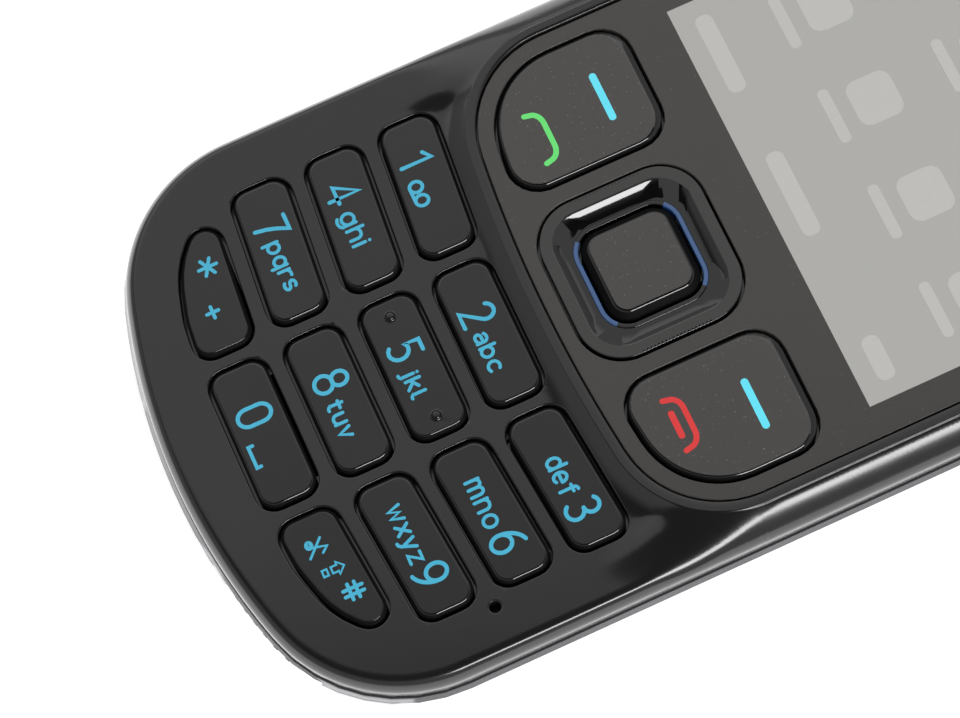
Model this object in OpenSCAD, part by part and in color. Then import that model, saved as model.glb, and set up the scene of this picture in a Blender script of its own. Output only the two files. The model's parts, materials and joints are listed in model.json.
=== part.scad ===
// Candybar mobile phone: front cover with separate keys, window, rear shell, battery cover and inner works.
// Millimetres. X to the right, Y up the face towards the earpiece, Z out of the face.
// The origin is the middle of the back plane.

/* [Body] */
// Overall length, bottom end to top end
body_l = 109.25; // [106:0.05:112]
// Overall width, at the rear shell
body_w = 46.2; // [45.8:0.2:48]
// Overall thickness, back plane to the lip round the window
body_t = 11.7; // [11.6:0.1:13]
// Height of the parting line above the back plane
seam_z = 8.1; // [8:0.05:8.2]
// Open groove between front cover and rear shell
seam_gap = 0.2; // [0.1:0.05:0.25]
// Step from the rear shell in to the front cover
front_step = 0.4; // [0.2:0.1:0.6]
// Wall of the two shells
wall = 1.2; // [1:0.1:1.3]
// Radius of the curved bottom end
bottom_end_r = 50; // [45:1:70]
// Radius of the two bottom corners
bottom_corner_r = 12.5; // [11.5:0.5:13.5]
// Radius of the curved top end
top_end_r = 80; // [60:1:120]
// Radius of the two top corners
top_corner_r = 10; // [9:0.5:11]
// Drop of the front cover's shoulder, from the lip down to the top of its upright edge
shoulder_drop = 2.3; // [2.1:0.05:2.5]
// Radius of the rolled back edge at the two ends
back_r = 2.2; // [1.8:0.1:2.3]
// How far the rear shell's sides curve in towards the back
side_roll = 3.2; // [2.9:0.1:3.3]

/* [Keypad] */
// Depth of the keypad face below the lip
pad_drop = 1; // [0.8:0.1:1.2]
// Thickness of the front cover at the keypad
pad_t = 1; // [0.8:0.1:1.1]
// Width of the cover between one row of keys and the next
row_gap = 1.12; // [1:0.02:1.3]
// Width of the cover between the middle column and an outer one
column_gap = 0.95; // [0.8:0.05:1.2]
// Width of a middle key's hole
mid_key_w = 11.65; // [11:0.05:12.4]
// Height of a key's hole
key_h = 4.92; // [4.6:0.02:5]
// Corner radius of a key's hole
key_r = 1.5; // [1:0.1:1.7]
// Slope of the outer keys, rising outwards, in degrees
key_slope = 5.2; // [3:0.1:6]
// How much higher the outer columns lie than the middle one
side_lift = 0.62; // [0.4:0.02:0.8]
// Height of the lowest row's middle above the bottom end
bottom_row = 7.77; // [7.65:0.02:8.05]
// Margin from the body's edge to the outer keys
pad_margin = 4.9; // [4.7:0.1:5.2]
// Margin from the body's edge to the rounded corners of the star and hash keys
low_margin = 4.55; // [4.45:0.05:4.9]
// Distance from the top row of keys to the window's bottom edge
pad_gap = 2.1; // [1.9:0.1:2.5]
// Play between a key and its hole
key_play = 0.2; // [0.15:0.05:0.25]
// How far a key stands out of the cover
key_proud = 0.3; // [0.2:0.05:0.4]
// How far a key goes down when it is pressed
key_travel = 0.3; // [0.2:0.05:0.35]
// Bevel round the top of a key
key_bevel = 0.28; // [0.2:0.02:0.35]
// Width of the ledge that holds a key under the cover
key_ledge = 0.2; // [0.15:0.05:0.25]

/* [Window] */
// Distance from the body's side to the window's side
window_side = 3.5; // [3.3:0.1:3.8]
// Distance from the window's top edge to the top end
window_top = 4; // [3.8:0.1:4.4]
// Thickness of the window
window_t = 1; // [0.8:0.1:1.1]
// Depth of the window's face below the lip
window_drop = 0.2; // [0.1:0.05:0.3]
// Corner radius of the window's bottom corners
window_r = 7.8; // [7:0.2:8.4]
// Corner radius of the window's top corners
window_top_r = 7; // [6:0.2:8]
// Radius of the window's curved bottom and top edges
window_end_r = 110; // [90:1:140]
// Width of the raised lip round the window
lip_w = 0.9; // [0.85:0.05:1.1]
// Width of the slope from the keypad up to the lip
cove_w = 2.2; // [1.8:0.1:2.6]
// Ledge that the window rests on
window_ledge = 0.7; // [0.6:0.05:0.75]
// Play between the window and the lip
window_play = 0.12; // [0.08:0.02:0.16]
// Distance from the window's side to the clear screen
screen_side = 2.4; // [2.2:0.1:3]
// Distance from the call keys up to the clear screen
screen_gap = 3.55; // [3.4:0.05:4]
// Distance from the window's top edge to the middle of the earpiece slot
ear_drop = 3.9; // [3.7:0.1:4.4]
// Gap between the earpiece and the screen's frame
ear_gap = 1.15; // [0.8:0.05:2]

/* [Call keys and navigation key] */
// Margin from the window's edge to a call key
call_margin = 1.25; // [1.1:0.05:1.4]
// Distance from the navigation key to a call key
nav_gap = 1.3; // [1.1:0.05:1.6]
// Corner radius of a call key
call_r = 2.6; // [2.2:0.1:3]
// How far a call key stands out of the window
call_proud = 0.25; // [0.15:0.05:0.35]
// Side of the navigation key's square hole
nav_w = 13.4; // [13:0.1:13.8]
// Corner radius of the navigation key's hole
nav_r = 3.7; // [3.2:0.1:4]
// Distance from the window's bottom edge up to the navigation key
nav_bottom = 1.15; // [1:0.05:1.4]
// Width of the flat rim on the navigation key
nav_rim = 0.95; // [0.8:0.05:1.1]
// Depth of the navigation key's dish
nav_dish = 0.65; // [0.5:0.05:0.7]
// Side of the hole for the select key
select_w = 8.7; // [8.5:0.1:9]
// Corner radius of the hole for the select key
select_r = 2.3; // [2:0.1:2.5]
// Width of the light ring round the select key
halo_w = 0.4; // [0.3:0.05:0.45]

/* [Battery] */
// Distance from the body's side to the battery
battery_side = 6.2; // [6:0.1:7]
// Height of the battery's bottom end above the phone's bottom end
battery_bottom = 16.4; // [16.2:0.1:17.4]
// Distance from the battery's top end to the phone's top end
battery_top = 38.8; // [37:0.2:41]
// Play round the battery in its bay
battery_play = 0.3; // [0.2:0.05:0.4]
// Thickness of the battery cover
cover_t = 0.8; // [0.7:0.05:0.85]
// Margin from the body's edge to the battery cover
cover_margin = 2.5; // [2.4:0.05:2.6]
// How far the battery cover reaches past the battery's top end
cover_reach = 6.4; // [6:0.1:6.8]
// Play between the battery cover and the rear shell
cover_play = 0.12; // [0.1:0.02:0.15]

/* [Sockets and side keys] */
// Radius of the headset socket's bore
jack_r = 1.78; // [1.75:0.01:1.85]
// Length of the headset socket's bore
jack_l = 12; // [11:0.5:12.5]
// Radius of the charger socket's bore
charger_r = 1.05; // [1:0.05:1.25]
// Length of the charger socket's bore
charger_l = 6; // [5:0.5:6.5]
// Width of the data socket's mouth
usb_w = 6.9; // [6.8:0.05:7]
// Height of the data socket's mouth
usb_h = 1.85; // [1.8:0.05:1.9]
// Height of the sockets' middle line above the back plane
socket_z = 3.4; // [3.35:0.05:3.5]
// Length of the volume key
volume_l = 16; // [14:0.5:18]
// Height of the volume key's face
volume_h = 2.4; // [2:0.1:2.6]
// Length of the power key
power_l = 7; // [6:0.2:7.4]
// Depth of the side keys' middle line below the parting line
side_drop = 4.1; // [4:0.05:4.3]
// How far the side keys stand out
side_proud = 0.5; // [0.3:0.05:0.7]
// Play round the side keys
side_play = 0.15; // [0.1:0.01:0.2]
// Width of the cover release at the bottom end
release_w = 11.2; // [10:0.2:12]
// Travel of the cover release
release_travel = 0.8; // [0.6:0.05:1]

/* [Hidden] */
$fn = 48;
eps = 0.02;
NUMBERS = ["1", "2", "3", "4", "5", "6", "7", "8", "9", "star", "0", "hash"];
KEYS = [for (n = NUMBERS) str("key_", n)];

// Colours
satin_black = [0.2, 0.2, 0.2];
key_black = [0.12, 0.12, 0.12];
gloss_black = [0.05, 0.05, 0.05];
rear_grey = [0.45, 0.45, 0.46];
steel = [0.7, 0.7, 0.72];
board_green = [0.08, 0.3, 0.18];
rubber_grey = [0.35, 0.35, 0.35];
gold = [0.8, 0.65, 0.25];

// Earpiece, screen and the frame round it
ear_w = 11;
ear_h = 1.5;
ear_l = 12;
ear_d = 6;
ear_t = 2.3;
ear_shift = 0.4;
panel_side = 0.65;
panel_end = 2.3;
frame_play = 0.05;
frame_wall = 0.3;

// Places along and across the phone
y_bottom = -body_l / 2;
y_top = body_l / 2;
half_w = body_w / 2;
row_pitch = key_h + row_gap;
side_key_w = half_w - pad_margin - mid_key_w / 2 - column_gap;
column_pitch = (mid_key_w + side_key_w) / 2 + column_gap;
lip_half = half_w - window_side;
screen_half = lip_half - screen_side;
window_y0 = y_bottom + bottom_row + 3 * row_pitch + key_h / 2 + pad_gap;
window_y1 = y_top - window_top;
nav_cy = window_y0 + nav_bottom + nav_w / 2;
call_inner = nav_w / 2 + nav_gap;
call_y1 = nav_cy + nav_w / 2;
ear_y = window_y1 - ear_drop;
screen_y0 = call_y1 + screen_gap;
screen_y1 = ear_y - ear_shift - ear_d / 2 - ear_gap - frame_wall - frame_play - panel_end;
battery_half = half_w - battery_side;
battery_y0 = y_bottom + battery_bottom;
battery_y1 = y_top - battery_top;
cover_y1 = battery_y1 + cover_reach;

// Heights, from the lip down for the front and from the back plane up for the rear
lip_z = body_t;
pad_z = lip_z - pad_drop;
pad_under = pad_z - pad_t;
window_z1 = lip_z - window_drop;
window_z0 = window_z1 - window_t;
ledge_gap = 0.1;
flange_t = 0.6;
flange_z1 = pad_under - ledge_gap;
flange_z0 = flange_z1 - flange_t;
mat_t = 0.4;
mat_gap = 0.1;
mat_z1 = flange_z0 - key_travel - mat_gap;
mat_z0 = mat_z1 - mat_t;
dome_h = 0.3;
dome_gap = 0.08;
foil_t = 0.1;
plunger_h = 0.42;
board_t = 0.8;
board_z1 = mat_z0 - plunger_h - dome_gap - dome_h - foil_t;
board_z0 = board_z1 - board_t;
chassis_t = 0.45;
chassis_seat = 0.05;
chassis_z1 = board_z0 - chassis_seat;
chassis_z0 = chassis_z1 - chassis_t;
front_z0 = seam_z + seam_gap;
cover_lift = 0.05;
cover_seat = 0.05;
cover_z1 = cover_lift + cover_t;
cover_z = cover_z1 + cover_seat;
floor_t = 1.3;
floor_z = cover_z + floor_t;
back_t = 1.2;
battery_seat = 0.1;
battery_z0 = cover_z + battery_seat;
battery_z1 = chassis_z0 - battery_seat;
call_z1 = window_z1 + call_proud;
rock_room = 0.3;
call_flange_t = 0.5;
call_flange_z1 = window_z0 - rock_room;
call_flange_z0 = call_flange_z1 - call_flange_t;
side_z = seam_z - side_drop;

// Points on each stretch of an outline: bottom, corner, lower side, upper side, top corner, top
n_bottom = 14;
n_corner = 8;
n_lower = 10;
n_upper = 6;
n_top_corner = 6;
n_top = 8;
bow_share = 0.55;

function arc(c, r, a0, a1, n) = [for (i = [0 : n - 1])
    let (a = a0 + (a1 - a0) * i / n) c + r * [cos(a), sin(a)]];
function line(a, b, n) = [for (i = [0 : n - 1]) a + (b - a) * i / n];
function mirrored(points) = [for (i = [len(points) - 1 : -1 : 0]) [-points[i][0], points[i][1]]];
function around(middle, half) = [middle - half, middle + half];
function from(start, steps) = [for (step = steps) start + step];
function but_last(points) = [for (i = [0 : len(points) - 2]) points[i]];
function lean(w, end_r, corner_r) = asin((w - corner_r) / (end_r - corner_r));
function corner_drop(w, end_r, corner_r) = end_r - sqrt(pow(end_r - corner_r, 2) - pow(w - corner_r, 2));

// The window's sides are straight between these two heights
lip_b = lean(lip_half, window_end_r, window_r);
lip_bow = lip_b * bow_share;
lip_t = lean(lip_half, window_end_r, window_top_r);
lip_low = window_y0 + corner_drop(lip_half, window_end_r, window_r);
lip_high = window_y1 - corner_drop(lip_half, window_end_r, window_top_r);

body_b = lean(half_w, bottom_end_r, bottom_corner_r);
body_tl = lean(half_w, top_end_r, top_corner_r);
body_low = y_bottom + corner_drop(half_w, bottom_end_r, bottom_corner_r);
body_high = y_top - corner_drop(half_w, top_end_r, top_corner_r);

// Right half of the body's outline, moved in by d, from the bottom arc to the top arc
function body_half(d) = concat(
    arc([half_w - bottom_corner_r, body_low], bottom_corner_r - d, -90 + body_b, 0, n_corner),
    line([half_w - d, body_low], [half_w - d, lip_low], n_lower),
    line([half_w - d, lip_low], [half_w - d, body_high], n_upper),
    arc([half_w - top_corner_r, body_high], top_corner_r - d, 0, 90 - body_tl, n_top_corner),
    [[(top_end_r - d) * sin(body_tl), y_top - top_end_r + (top_end_r - d) * cos(body_tl)]]);
function body_outline(d) = concat(
    arc([0, y_bottom + bottom_end_r], bottom_end_r - d, -90 - body_b, -90 + body_b, n_bottom),
    body_half(d),
    [for (i = [1 : n_top - 1]) let (a = 90 - body_tl + 2 * body_tl * i / n_top)
        [0, y_top - top_end_r] + (top_end_r - d) * [cos(a), sin(a)]],
    but_last(mirrored(body_half(d))));

// The window's outline, moved out by d, point for point with the body's
function window_half(d) = concat(
    arc([0, window_y0 + window_end_r], window_end_r + d, -90 + lip_bow, -90 + lip_b, n_corner),
    arc([lip_half - window_r, lip_low], window_r + d, -90 + lip_b, 0, n_lower),
    line([lip_half + d, lip_low], [lip_half + d, lip_high], n_upper),
    arc([lip_half - window_top_r, lip_high], window_top_r + d, 0, 90 - lip_t, n_top_corner),
    [[(window_end_r + d) * sin(lip_t), window_y1 - window_end_r + (window_end_r + d) * cos(lip_t)]]);
function window_outline(d) = concat(
    arc([0, window_y0 + window_end_r], window_end_r + d, -90 - lip_bow, -90 + lip_bow, n_bottom),
    window_half(d),
    [for (i = [1 : n_top - 1]) let (a = 90 - lip_t + 2 * lip_t * i / n_top)
        [0, window_y1 - window_end_r] + (window_end_r + d) * [cos(a), sin(a)]],
    but_last(mirrored(window_half(d))));

function seg_d(p, a, b) = let (ab = b - a, t = max(0, min(1, (p - a) * ab / (ab * ab)))) norm(p - a - t * ab);
function loop_d(p, loop) = min([for (i = [0 : len(loop) - 1]) seg_d(p, loop[i], loop[(i + 1) % len(loop)])]);
function share(t) = max(0, min(1, t));
function smooth(t) = share(t) * share(t) * (3 - 2 * share(t));

// The front is the lower of two surfaces: the keypad's dip and the shoulder along the edge
ramp_low = 1.5;
ramp_l = 8;
crease = 0.3;
shoulder_w = window_side - lip_w - front_step;
// Beside the window's lower corners the slope off the lip is wider, and the crease softer
corner_w = 4.8;
corner_in = 2.4;
corner_l = 2.5;
crease_more = 0.7;
crease_low = 2.3;
crease_up = 4;
crease_down = 6;
function cove_at(x) = cove_w + corner_w * smooth((abs(x) - lip_half + corner_in) / corner_l);
function crease_at(y) = crease + crease_more * smooth((y - window_y0 + crease_low) / crease_up)
    * (1 - smooth((y - window_y0 - ramp_low) / crease_down));
function dip_z(p, d_lip) = pad_z + pad_drop * max(
    pow(share(1 - d_lip / cove_at(p[0])), 2), smooth((p[1] - window_y0 - ramp_low) / ramp_l));
function shoulder_z(d_edge) = lip_z - shoulder_drop * (1 - sqrt(d_edge / shoulder_w));
function lower(a, b, soft) = min(a, b) - pow(max(0, soft - abs(a - b)), 2) / (4 * soft);
function face_z(p, d_edge, d_lip) = lower(dip_z(p, d_lip), shoulder_z(d_edge), crease_at(p[1]));

// Outline of the rear half at a height, moved in by d: its sides curve in further than its ends
seam_chamfer = 0.3;
function curve_in(z, r, h) = z >= h ? 0 : r * (1 - sqrt(1 - pow((h - z) / h, 2)));
function side_in(z) = curve_in(z, side_roll, seam_z - seam_chamfer);
function rear_outline(z, d) = let (
    end_in = curve_in(z, back_r, back_r) + d,
    squeeze = (half_w - side_in(z) - d) / (half_w - end_in))
    [for (p = body_outline(end_in)) [p[0] * squeeze, p[1]]];
rear_zs = concat([for (a = [0 : 15 : 90]) back_r * (1 - cos(a))],
    [for (k = [1 : 4]) back_r + (seam_z - seam_chamfer - back_r) * k / 4]);
function at_z(points, z) = [for (p = points) [p[0], p[1], z]];

// A closed skin through a stack of rings with equal numbers of points
module loft(rings) {
    n = len(rings[0]);
    last = len(rings) - 1;
    polyhedron(points = [for (ring = rings, p = ring) p], faces = concat(
        [[for (i = [0 : n - 1]) i]],
        [for (k = [0 : last - 1], i = [0 : n - 1], half = [0, 1])
            let (j = (i + 1) % n, a = k * n, b = a + n)
            half == 0 ? [a + i, b + i, b + j] : [a + i, b + j, a + j]],
        [[for (i = [n - 1 : -1 : 0]) last * n + i]]));
}

module slab(z0, z1) {
    translate([0, 0, z0]) linear_extrude(z1 - z0) children();
}

module box(x, y, z) {
    translate([x[0], y[0], z[0]]) cube([x[1] - x[0], y[1] - y[0], z[1] - z[0]]);
}

module rounded(w, h, r) {
    square([w - 2 * r, h], center = true);
    square([w, h - 2 * r], center = true);
    for (x = [-1, 1], y = [-1, 1]) translate([x * (w / 2 - r), y * (h / 2 - r)]) circle(r);
}

module pill(w, h) {
    square([w - h, h], center = true);
    for (x = [-1, 1]) translate([x * (w - h) / 2, 0]) circle(d = h);
}

// A pill whose long side runs along Y and that goes from x0 to x1
module side_pill(x0, x1, y, z, l, h) {
    translate([x0, y, z]) rotate([90, 0, 90]) linear_extrude(x1 - x0) pill(l, h);
}

// A pill whose long side runs along X and that goes from y0 to y1
module end_pill(x, y0, y1, z, l, h) {
    translate([x, y1, z]) rotate([90, 0, 0]) linear_extrude(y1 - y0) pill(l, h);
}

module drill_y(x, y0, y1, z, r) {
    translate([x, y1, z]) rotate([90, 0, 0]) cylinder(r = r, h = y1 - y0);
}

// Case screws: three down each side, under the battery cover, clear of the screen and the battery
screw_r = 0.68;
screw_play = 0.12;
screw_head_r = 1.15;
screw_head_t = 0.75;
screw_seat = 0.05;
screw_head_z = cover_z + screw_seat;
screw_end = 1.3;
screw_z1 = pad_under - screw_end;
slot_l = 1.5;
slot_w = 0.3;
slot_d = 0.35;
boss_r = 0.95;
boss_gap = 0.15;
boss_seat = 0.02;
boss_root = 0.3;
boss_z0 = chassis_z1 + boss_seat;
post_r = 1.3;
post_gap = 0.25;
post_seat = 0.1;
bay_wall = 0.55;
bay_half = battery_half + battery_play;
bay_y0 = battery_y0 - battery_play;
bay_y1 = battery_y1 + battery_play;
frame_half = screen_half + panel_side + frame_play + frame_wall;
screw_x = max(frame_half + boss_gap + boss_r, bay_half + bay_wall + post_gap + post_r);
low_screw = 3.3;
mid_screw = 1.2;
top_screw = 4.1;
screw_ys = [body_low - low_screw, screen_y0 + mid_screw, cover_y1 - top_screw];
module at_screws() {
    for (x = [-screw_x, screw_x], y = screw_ys) translate([x, y, 0]) children();
}

// Number keys
function number_col(i) = i % 3 - 1;
function number_row(i) = floor(i / 3);
function number_middle(i) = [number_col(i) * column_pitch,
    y_bottom + bottom_row + (3 - number_row(i)) * row_pitch + abs(number_col(i)) * side_lift];
function number_width(i) = number_col(i) == 0 ? mid_key_w : side_key_w;
function number_corners(i) = let (w = number_width(i) / 2, rise = number_col(i) * tan(key_slope) * w)
    [for (s = [[-1, -1], [1, -1], [1, 1], [-1, 1]])
        number_middle(i) + [s[0] * w, s[1] * key_h / 2 + s[0] * rise]];
module number_shape(i, grow) {
    offset(delta = grow, $fn = 24) offset(r = key_r, $fn = 24) offset(delta = -key_r) intersection() {
        polygon(number_corners(i));
        polygon(body_outline(low_margin));
    }
}
key_z1 = pad_z + key_proud;
nub_r = 0.45;
nub_h = 0.2;
nub_x = 4.2;
module number_key(i) color(key_black) {
    hull() {
        slab(flange_z1 - eps, key_z1 - key_bevel) number_shape(i, -key_play);
        slab(key_z1 - key_bevel, key_z1) number_shape(i, -key_play - key_bevel);
    }
    slab(flange_z0, flange_z1) number_shape(i, key_ledge);
    if (NUMBERS[i] == "5") for (x = [-nub_x, nub_x])
        translate(concat(number_middle(i) + [x, 0], key_z1 - eps))
            cylinder(r1 = nub_r, r2 = nub_r / 2, h = nub_h);
}

// Call keys: side is -1 for the call key, 1 for the end key
call_ledge = 0.3;
module call_shape(side, grow) {
    offset(delta = grow, $fn = 24) offset(r = call_r, $fn = 24) offset(delta = -call_r) intersection() {
        polygon(window_outline(-call_margin));
        translate([side > 0 ? call_inner : -half_w, window_y0])
            square([half_w - call_inner, call_y1 - window_y0]);
    }
}
module rocker_key(side) color(key_black) {
    hull() {
        slab(call_flange_z1 - eps, call_z1 - key_bevel) call_shape(side, -key_play);
        slab(call_z1 - key_bevel, call_z1) call_shape(side, -key_play - key_bevel);
    }
    slab(call_flange_z0, call_flange_z1) call_shape(side, call_ledge);
}
module call_key() rocker_key(-1);
module end_key() rocker_key(1);

// Navigation key: carrier, dished ring, light ring and select key
nav_proud = 0.1;
nav_z1 = window_z1 + nav_proud;
nav_floor = nav_z1 - nav_dish;
nav_ledge = 0.2;
nav_room = 0.35;
nav_flange_t = 0.4;
nav_flange_z1 = window_z0 - nav_room;
nav_flange_z0 = nav_flange_z1 - nav_flange_t;
nav_tilt_gap = 0.3;
carrier_t = 0.45;
carrier_play = 0.3;
carrier_side = 0.4;
carrier_z1 = nav_flange_z0 - nav_tilt_gap;
carrier_z0 = carrier_z1 - carrier_t;
dish_shelf = 0.35;
halo_in = select_w - 2 * halo_w;
halo_low = 0.1;
halo_proud = 0.08;
select_cap_w = halo_in - 2 * key_play;
select_ledge = 0.2;
select_flange_w = halo_in + 2 * select_ledge;
select_bevel = 0.6;
module nav_square(w, r) {
    translate([0, nav_cy]) rounded(w, w, r);
}
module nav_rocker() color(rubber_grey) slab(carrier_z0, carrier_z1) difference() {
    nav_square(nav_w - 2 * carrier_side, nav_r);
    nav_square(select_flange_w + 2 * carrier_play, select_r);
}
module nav_ring() color(gloss_black) difference() {
    cap_w = nav_w - 2 * key_play;
    cap_r = nav_r - key_play;
    union() {
        slab(nav_flange_z0, nav_z1) nav_square(cap_w, cap_r);
        slab(nav_flange_z0, nav_flange_z1) nav_square(nav_w + 2 * nav_ledge, nav_r + nav_ledge);
    }
    slab(nav_flange_z0 - 1, nav_z1 + 1) nav_square(select_w, select_r);
    hull($fn = 32) {
        slab(nav_z1, nav_z1 + eps) nav_square(cap_w - 2 * nav_rim, cap_r - nav_rim);
        slab(nav_floor, nav_floor + eps) nav_square(select_w + 2 * dish_shelf, select_r + dish_shelf);
    }
}
module nav_halo() color([0.1, 0.35, 0.8])
    slab(nav_flange_z0 + halo_low, nav_floor + halo_proud) difference() {
        nav_square(select_w - 2 * eps, select_r - eps);
        nav_square(halo_in, select_r - halo_w);
    }
module select_key() color(gloss_black) {
    base_r = select_r - halo_w - key_play;
    hull($fn = 32) {
        slab(carrier_z1 - eps, nav_z1 - select_bevel) nav_square(select_cap_w, base_r);
        slab(nav_z1 - eps, nav_z1) nav_square(select_cap_w - 2 * select_bevel, base_r - select_bevel);
    }
    slab(carrier_z0, carrier_z1) nav_square(select_flange_w, select_r - select_ledge);
}

// Microphone in the right edge of the keypad
mic_hole_r = 0.42;
mic_side = 4.1;
mic_up = 17.85;
mic_x = half_w - mic_side;
mic_y = y_bottom + mic_up;
mic_t = 1;
mic_span = [-0.9, 1.3];
mic_half = 1.6;
boot_r = 0.9;
module at_mic() {
    translate([mic_x, mic_y]) children();
}
module microphone() color(steel)
    box(from(mic_x, mic_span), around(mic_y, mic_half), [board_z1, board_z1 + mic_t]);
module microphone_boot() color(rubber_grey) difference() {
    slab(board_z1 + mic_t, pad_under) at_mic() circle(boot_r);
    slab(board_z1, pad_z) at_mic() circle(mic_hole_r);
}

// Earpiece above the screen
grille_t = 0.35;
grille_hole = 0.28;
grille_pitch = 0.9;
grille_play = 0.05;
ear_depth = 0.55;
ear_r = 1.2;
ear_seat = 0.03;
ear_mouth = 0.5;
ear_inset = 0.3;
module ear_slot(grow) {
    translate([0, ear_y]) pill(ear_w + 2 * grow, ear_h + 2 * grow);
}
module earpiece_grille() color(steel)
    slab(window_z1 - ear_depth, window_z1 - ear_depth + grille_t) difference() {
        ear_slot(-grille_play);
        for (k = [-5 : 5]) translate([k * grille_pitch, ear_y]) circle(grille_hole, $fn = 16);
    }
module earpiece() color(gloss_black) difference() {
    slab(window_z0 - ear_t, window_z0 - ear_seat)
        translate([0, ear_y - ear_shift]) rounded(ear_l, ear_d, ear_r);
    slab(window_z0 - ear_mouth, window_z0) ear_slot(-ear_inset);
}

// Sockets in the top end
jack_x = -12.4;
charger_x = 13;
usb_x = -2.5;
mouth_depth = 0.35;
nose_root = 0.4;
socket_play = 0.12;
socket_seat = 0.15;
socket_z0 = back_t + cover_seat;
socket_end = 1;
socket_inset = front_step + wall + socket_seat;
function end_y(x, d) = y_top - top_end_r + sqrt(pow(top_end_r - d, 2) - x * x);
jack_wall = 0.6;
jack_body = 1.3;
jack_roof = 0.45;
jack_mouth = end_y(jack_x, 0) - mouth_depth;
jack_y0 = jack_mouth - jack_l - socket_end;
jack_half = jack_r + jack_body;
jack_nose_r = jack_r + jack_wall;
jack_z1 = socket_z + jack_r + jack_roof;
charger_wall = 0.6;
charger_body = 1.15;
charger_mouth = end_y(charger_x, 0) - mouth_depth;
charger_half = charger_r + charger_body;
charger_nose_r = charger_r + charger_wall;
usb_shell = 0.45;
usb_depth = 5.6;
usb_back = 0.6;
usb_tongue = [3.8, 0.5];
usb_lift = 0.1;
usb_mouth = end_y(usb_x, 0) - mouth_depth;
usb_half = usb_w / 2 + usb_shell;
usb_half_h = usb_h / 2 + usb_shell;
module inside_case() {
    slab(0, body_t) polygon(body_outline(socket_inset));
}
module socket_nose(x, mouth, r) {
    drill_y(x, end_y(x, socket_inset) - nose_root, mouth, socket_z, r);
}
module socket_holes() {
    socket_nose(jack_x, y_top + 1, jack_nose_r + socket_play);
    socket_nose(charger_x, y_top + 1, charger_nose_r + socket_play);
    box(around(usb_x, usb_half + socket_play), [end_y(usb_x, socket_inset) - 1, y_top + 1],
        around(socket_z, usb_half_h + socket_play));
}
module audio_socket() color(gloss_black) difference() {
    union() {
        intersection() {
            box(around(jack_x, jack_half), [jack_y0, y_top], [socket_z0, jack_z1]);
            inside_case();
        }
        socket_nose(jack_x, jack_mouth, jack_nose_r);
    }
    drill_y(jack_x, jack_mouth - jack_l, jack_mouth + 1, socket_z, jack_r);
}
module charger_socket() color(gloss_black) difference() {
    union() {
        intersection() {
            box(around(charger_x, charger_half), [charger_mouth - charger_l - socket_end, y_top],
                [socket_z0, board_z0]);
            inside_case();
        }
        socket_nose(charger_x, charger_mouth, charger_nose_r);
    }
    drill_y(charger_x, charger_mouth - charger_l, charger_mouth + 1, socket_z, charger_r);
}
module data_socket() color(steel) difference() {
    union() {
        box(around(usb_x, usb_half), [usb_mouth - usb_depth, usb_mouth], around(socket_z, usb_half_h));
        intersection() {
            box(around(usb_x, usb_half), [usb_mouth - usb_depth, y_top], [socket_z, board_z0]);
            inside_case();
        }
    }
    difference() {
        box(around(usb_x, usb_w / 2), [usb_mouth - usb_depth + usb_back, usb_mouth + 1],
            around(socket_z, usb_h / 2));
        box(around(usb_x, usb_tongue[0] / 2), [usb_mouth - usb_depth, usb_mouth - usb_back],
            from(socket_z + usb_lift, [0, usb_tongue[1]]));
    }
}

// Front half
cove_share = 0.45;
roll_w = 1.4;
module front_body() {
    edge = body_outline(front_step);
    edge_in = body_outline(front_step + 1);
    lip = window_outline(lip_w);
    lip_out = window_outline(lip_w + 1);
    count = len(edge);
    span = [for (i = [0 : count - 1]) norm(edge[i] - lip[i])];
    rolled = [for (s = [0 : 0.1 : 1]) [for (i = [0 : count - 1])
        let (d = s * s * min(roll_w, span[i] / 2), p = edge[i] + (edge_in[i] - edge[i]) * d)
        [p[0], p[1], face_z(p, d, loop_d(p, lip))]]];
    coved = [for (s = [1 : -0.2 : 0.1]) [for (i = [0 : count - 1])
        let (d = s * min(cove_w, span[i] * cove_share), p = lip[i] + (lip_out[i] - lip[i]) * d)
        [p[0], p[1], face_z(p, loop_d(p, edge), d)]]];
    middle = [for (t = [0.25 : 0.25 : 0.75]) [for (i = [0 : count - 1])
        let (near = rolled[len(rolled) - 1][i], way = coved[0][i] - near,
            p = [near[0] + way[0] * t, near[1] + way[1] * t])
        [p[0], p[1], face_z(p, loop_d(p, edge), loop_d(p, lip))]]];
    loft(concat([at_z(edge, front_z0)], rolled, middle, coved, [at_z(lip, lip_z)]));
}
module front_cover() color(satin_black) difference() {
    union() {
        difference() {
            front_body();
            slab(front_z0 - 1, pad_under) polygon(body_outline(front_step + wall));
        }
        at_screws() slab(boss_z0, pad_under + boss_root) circle(boss_r);
    }
    slab(window_z0, lip_z + 1) polygon(window_outline(window_play));
    slab(pad_under - 1, lip_z) polygon(window_outline(-window_ledge));
    for (i = [0 : len(NUMBERS) - 1]) slab(pad_under - 1, lip_z + 1) number_shape(i, 0);
    slab(pad_under - 1, lip_z) at_mic() circle(mic_hole_r);
    at_screws() slab(boss_z0 - 1, screw_z1 + screw_play) circle(screw_r + eps);
}
module display_window() color(gloss_black) slab(window_z0, window_z1) difference() {
    polygon(window_outline(0));
    call_shape(-1, 0);
    call_shape(1, 0);
    nav_square(nav_w, nav_r);
    ear_slot(0);
}

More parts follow.
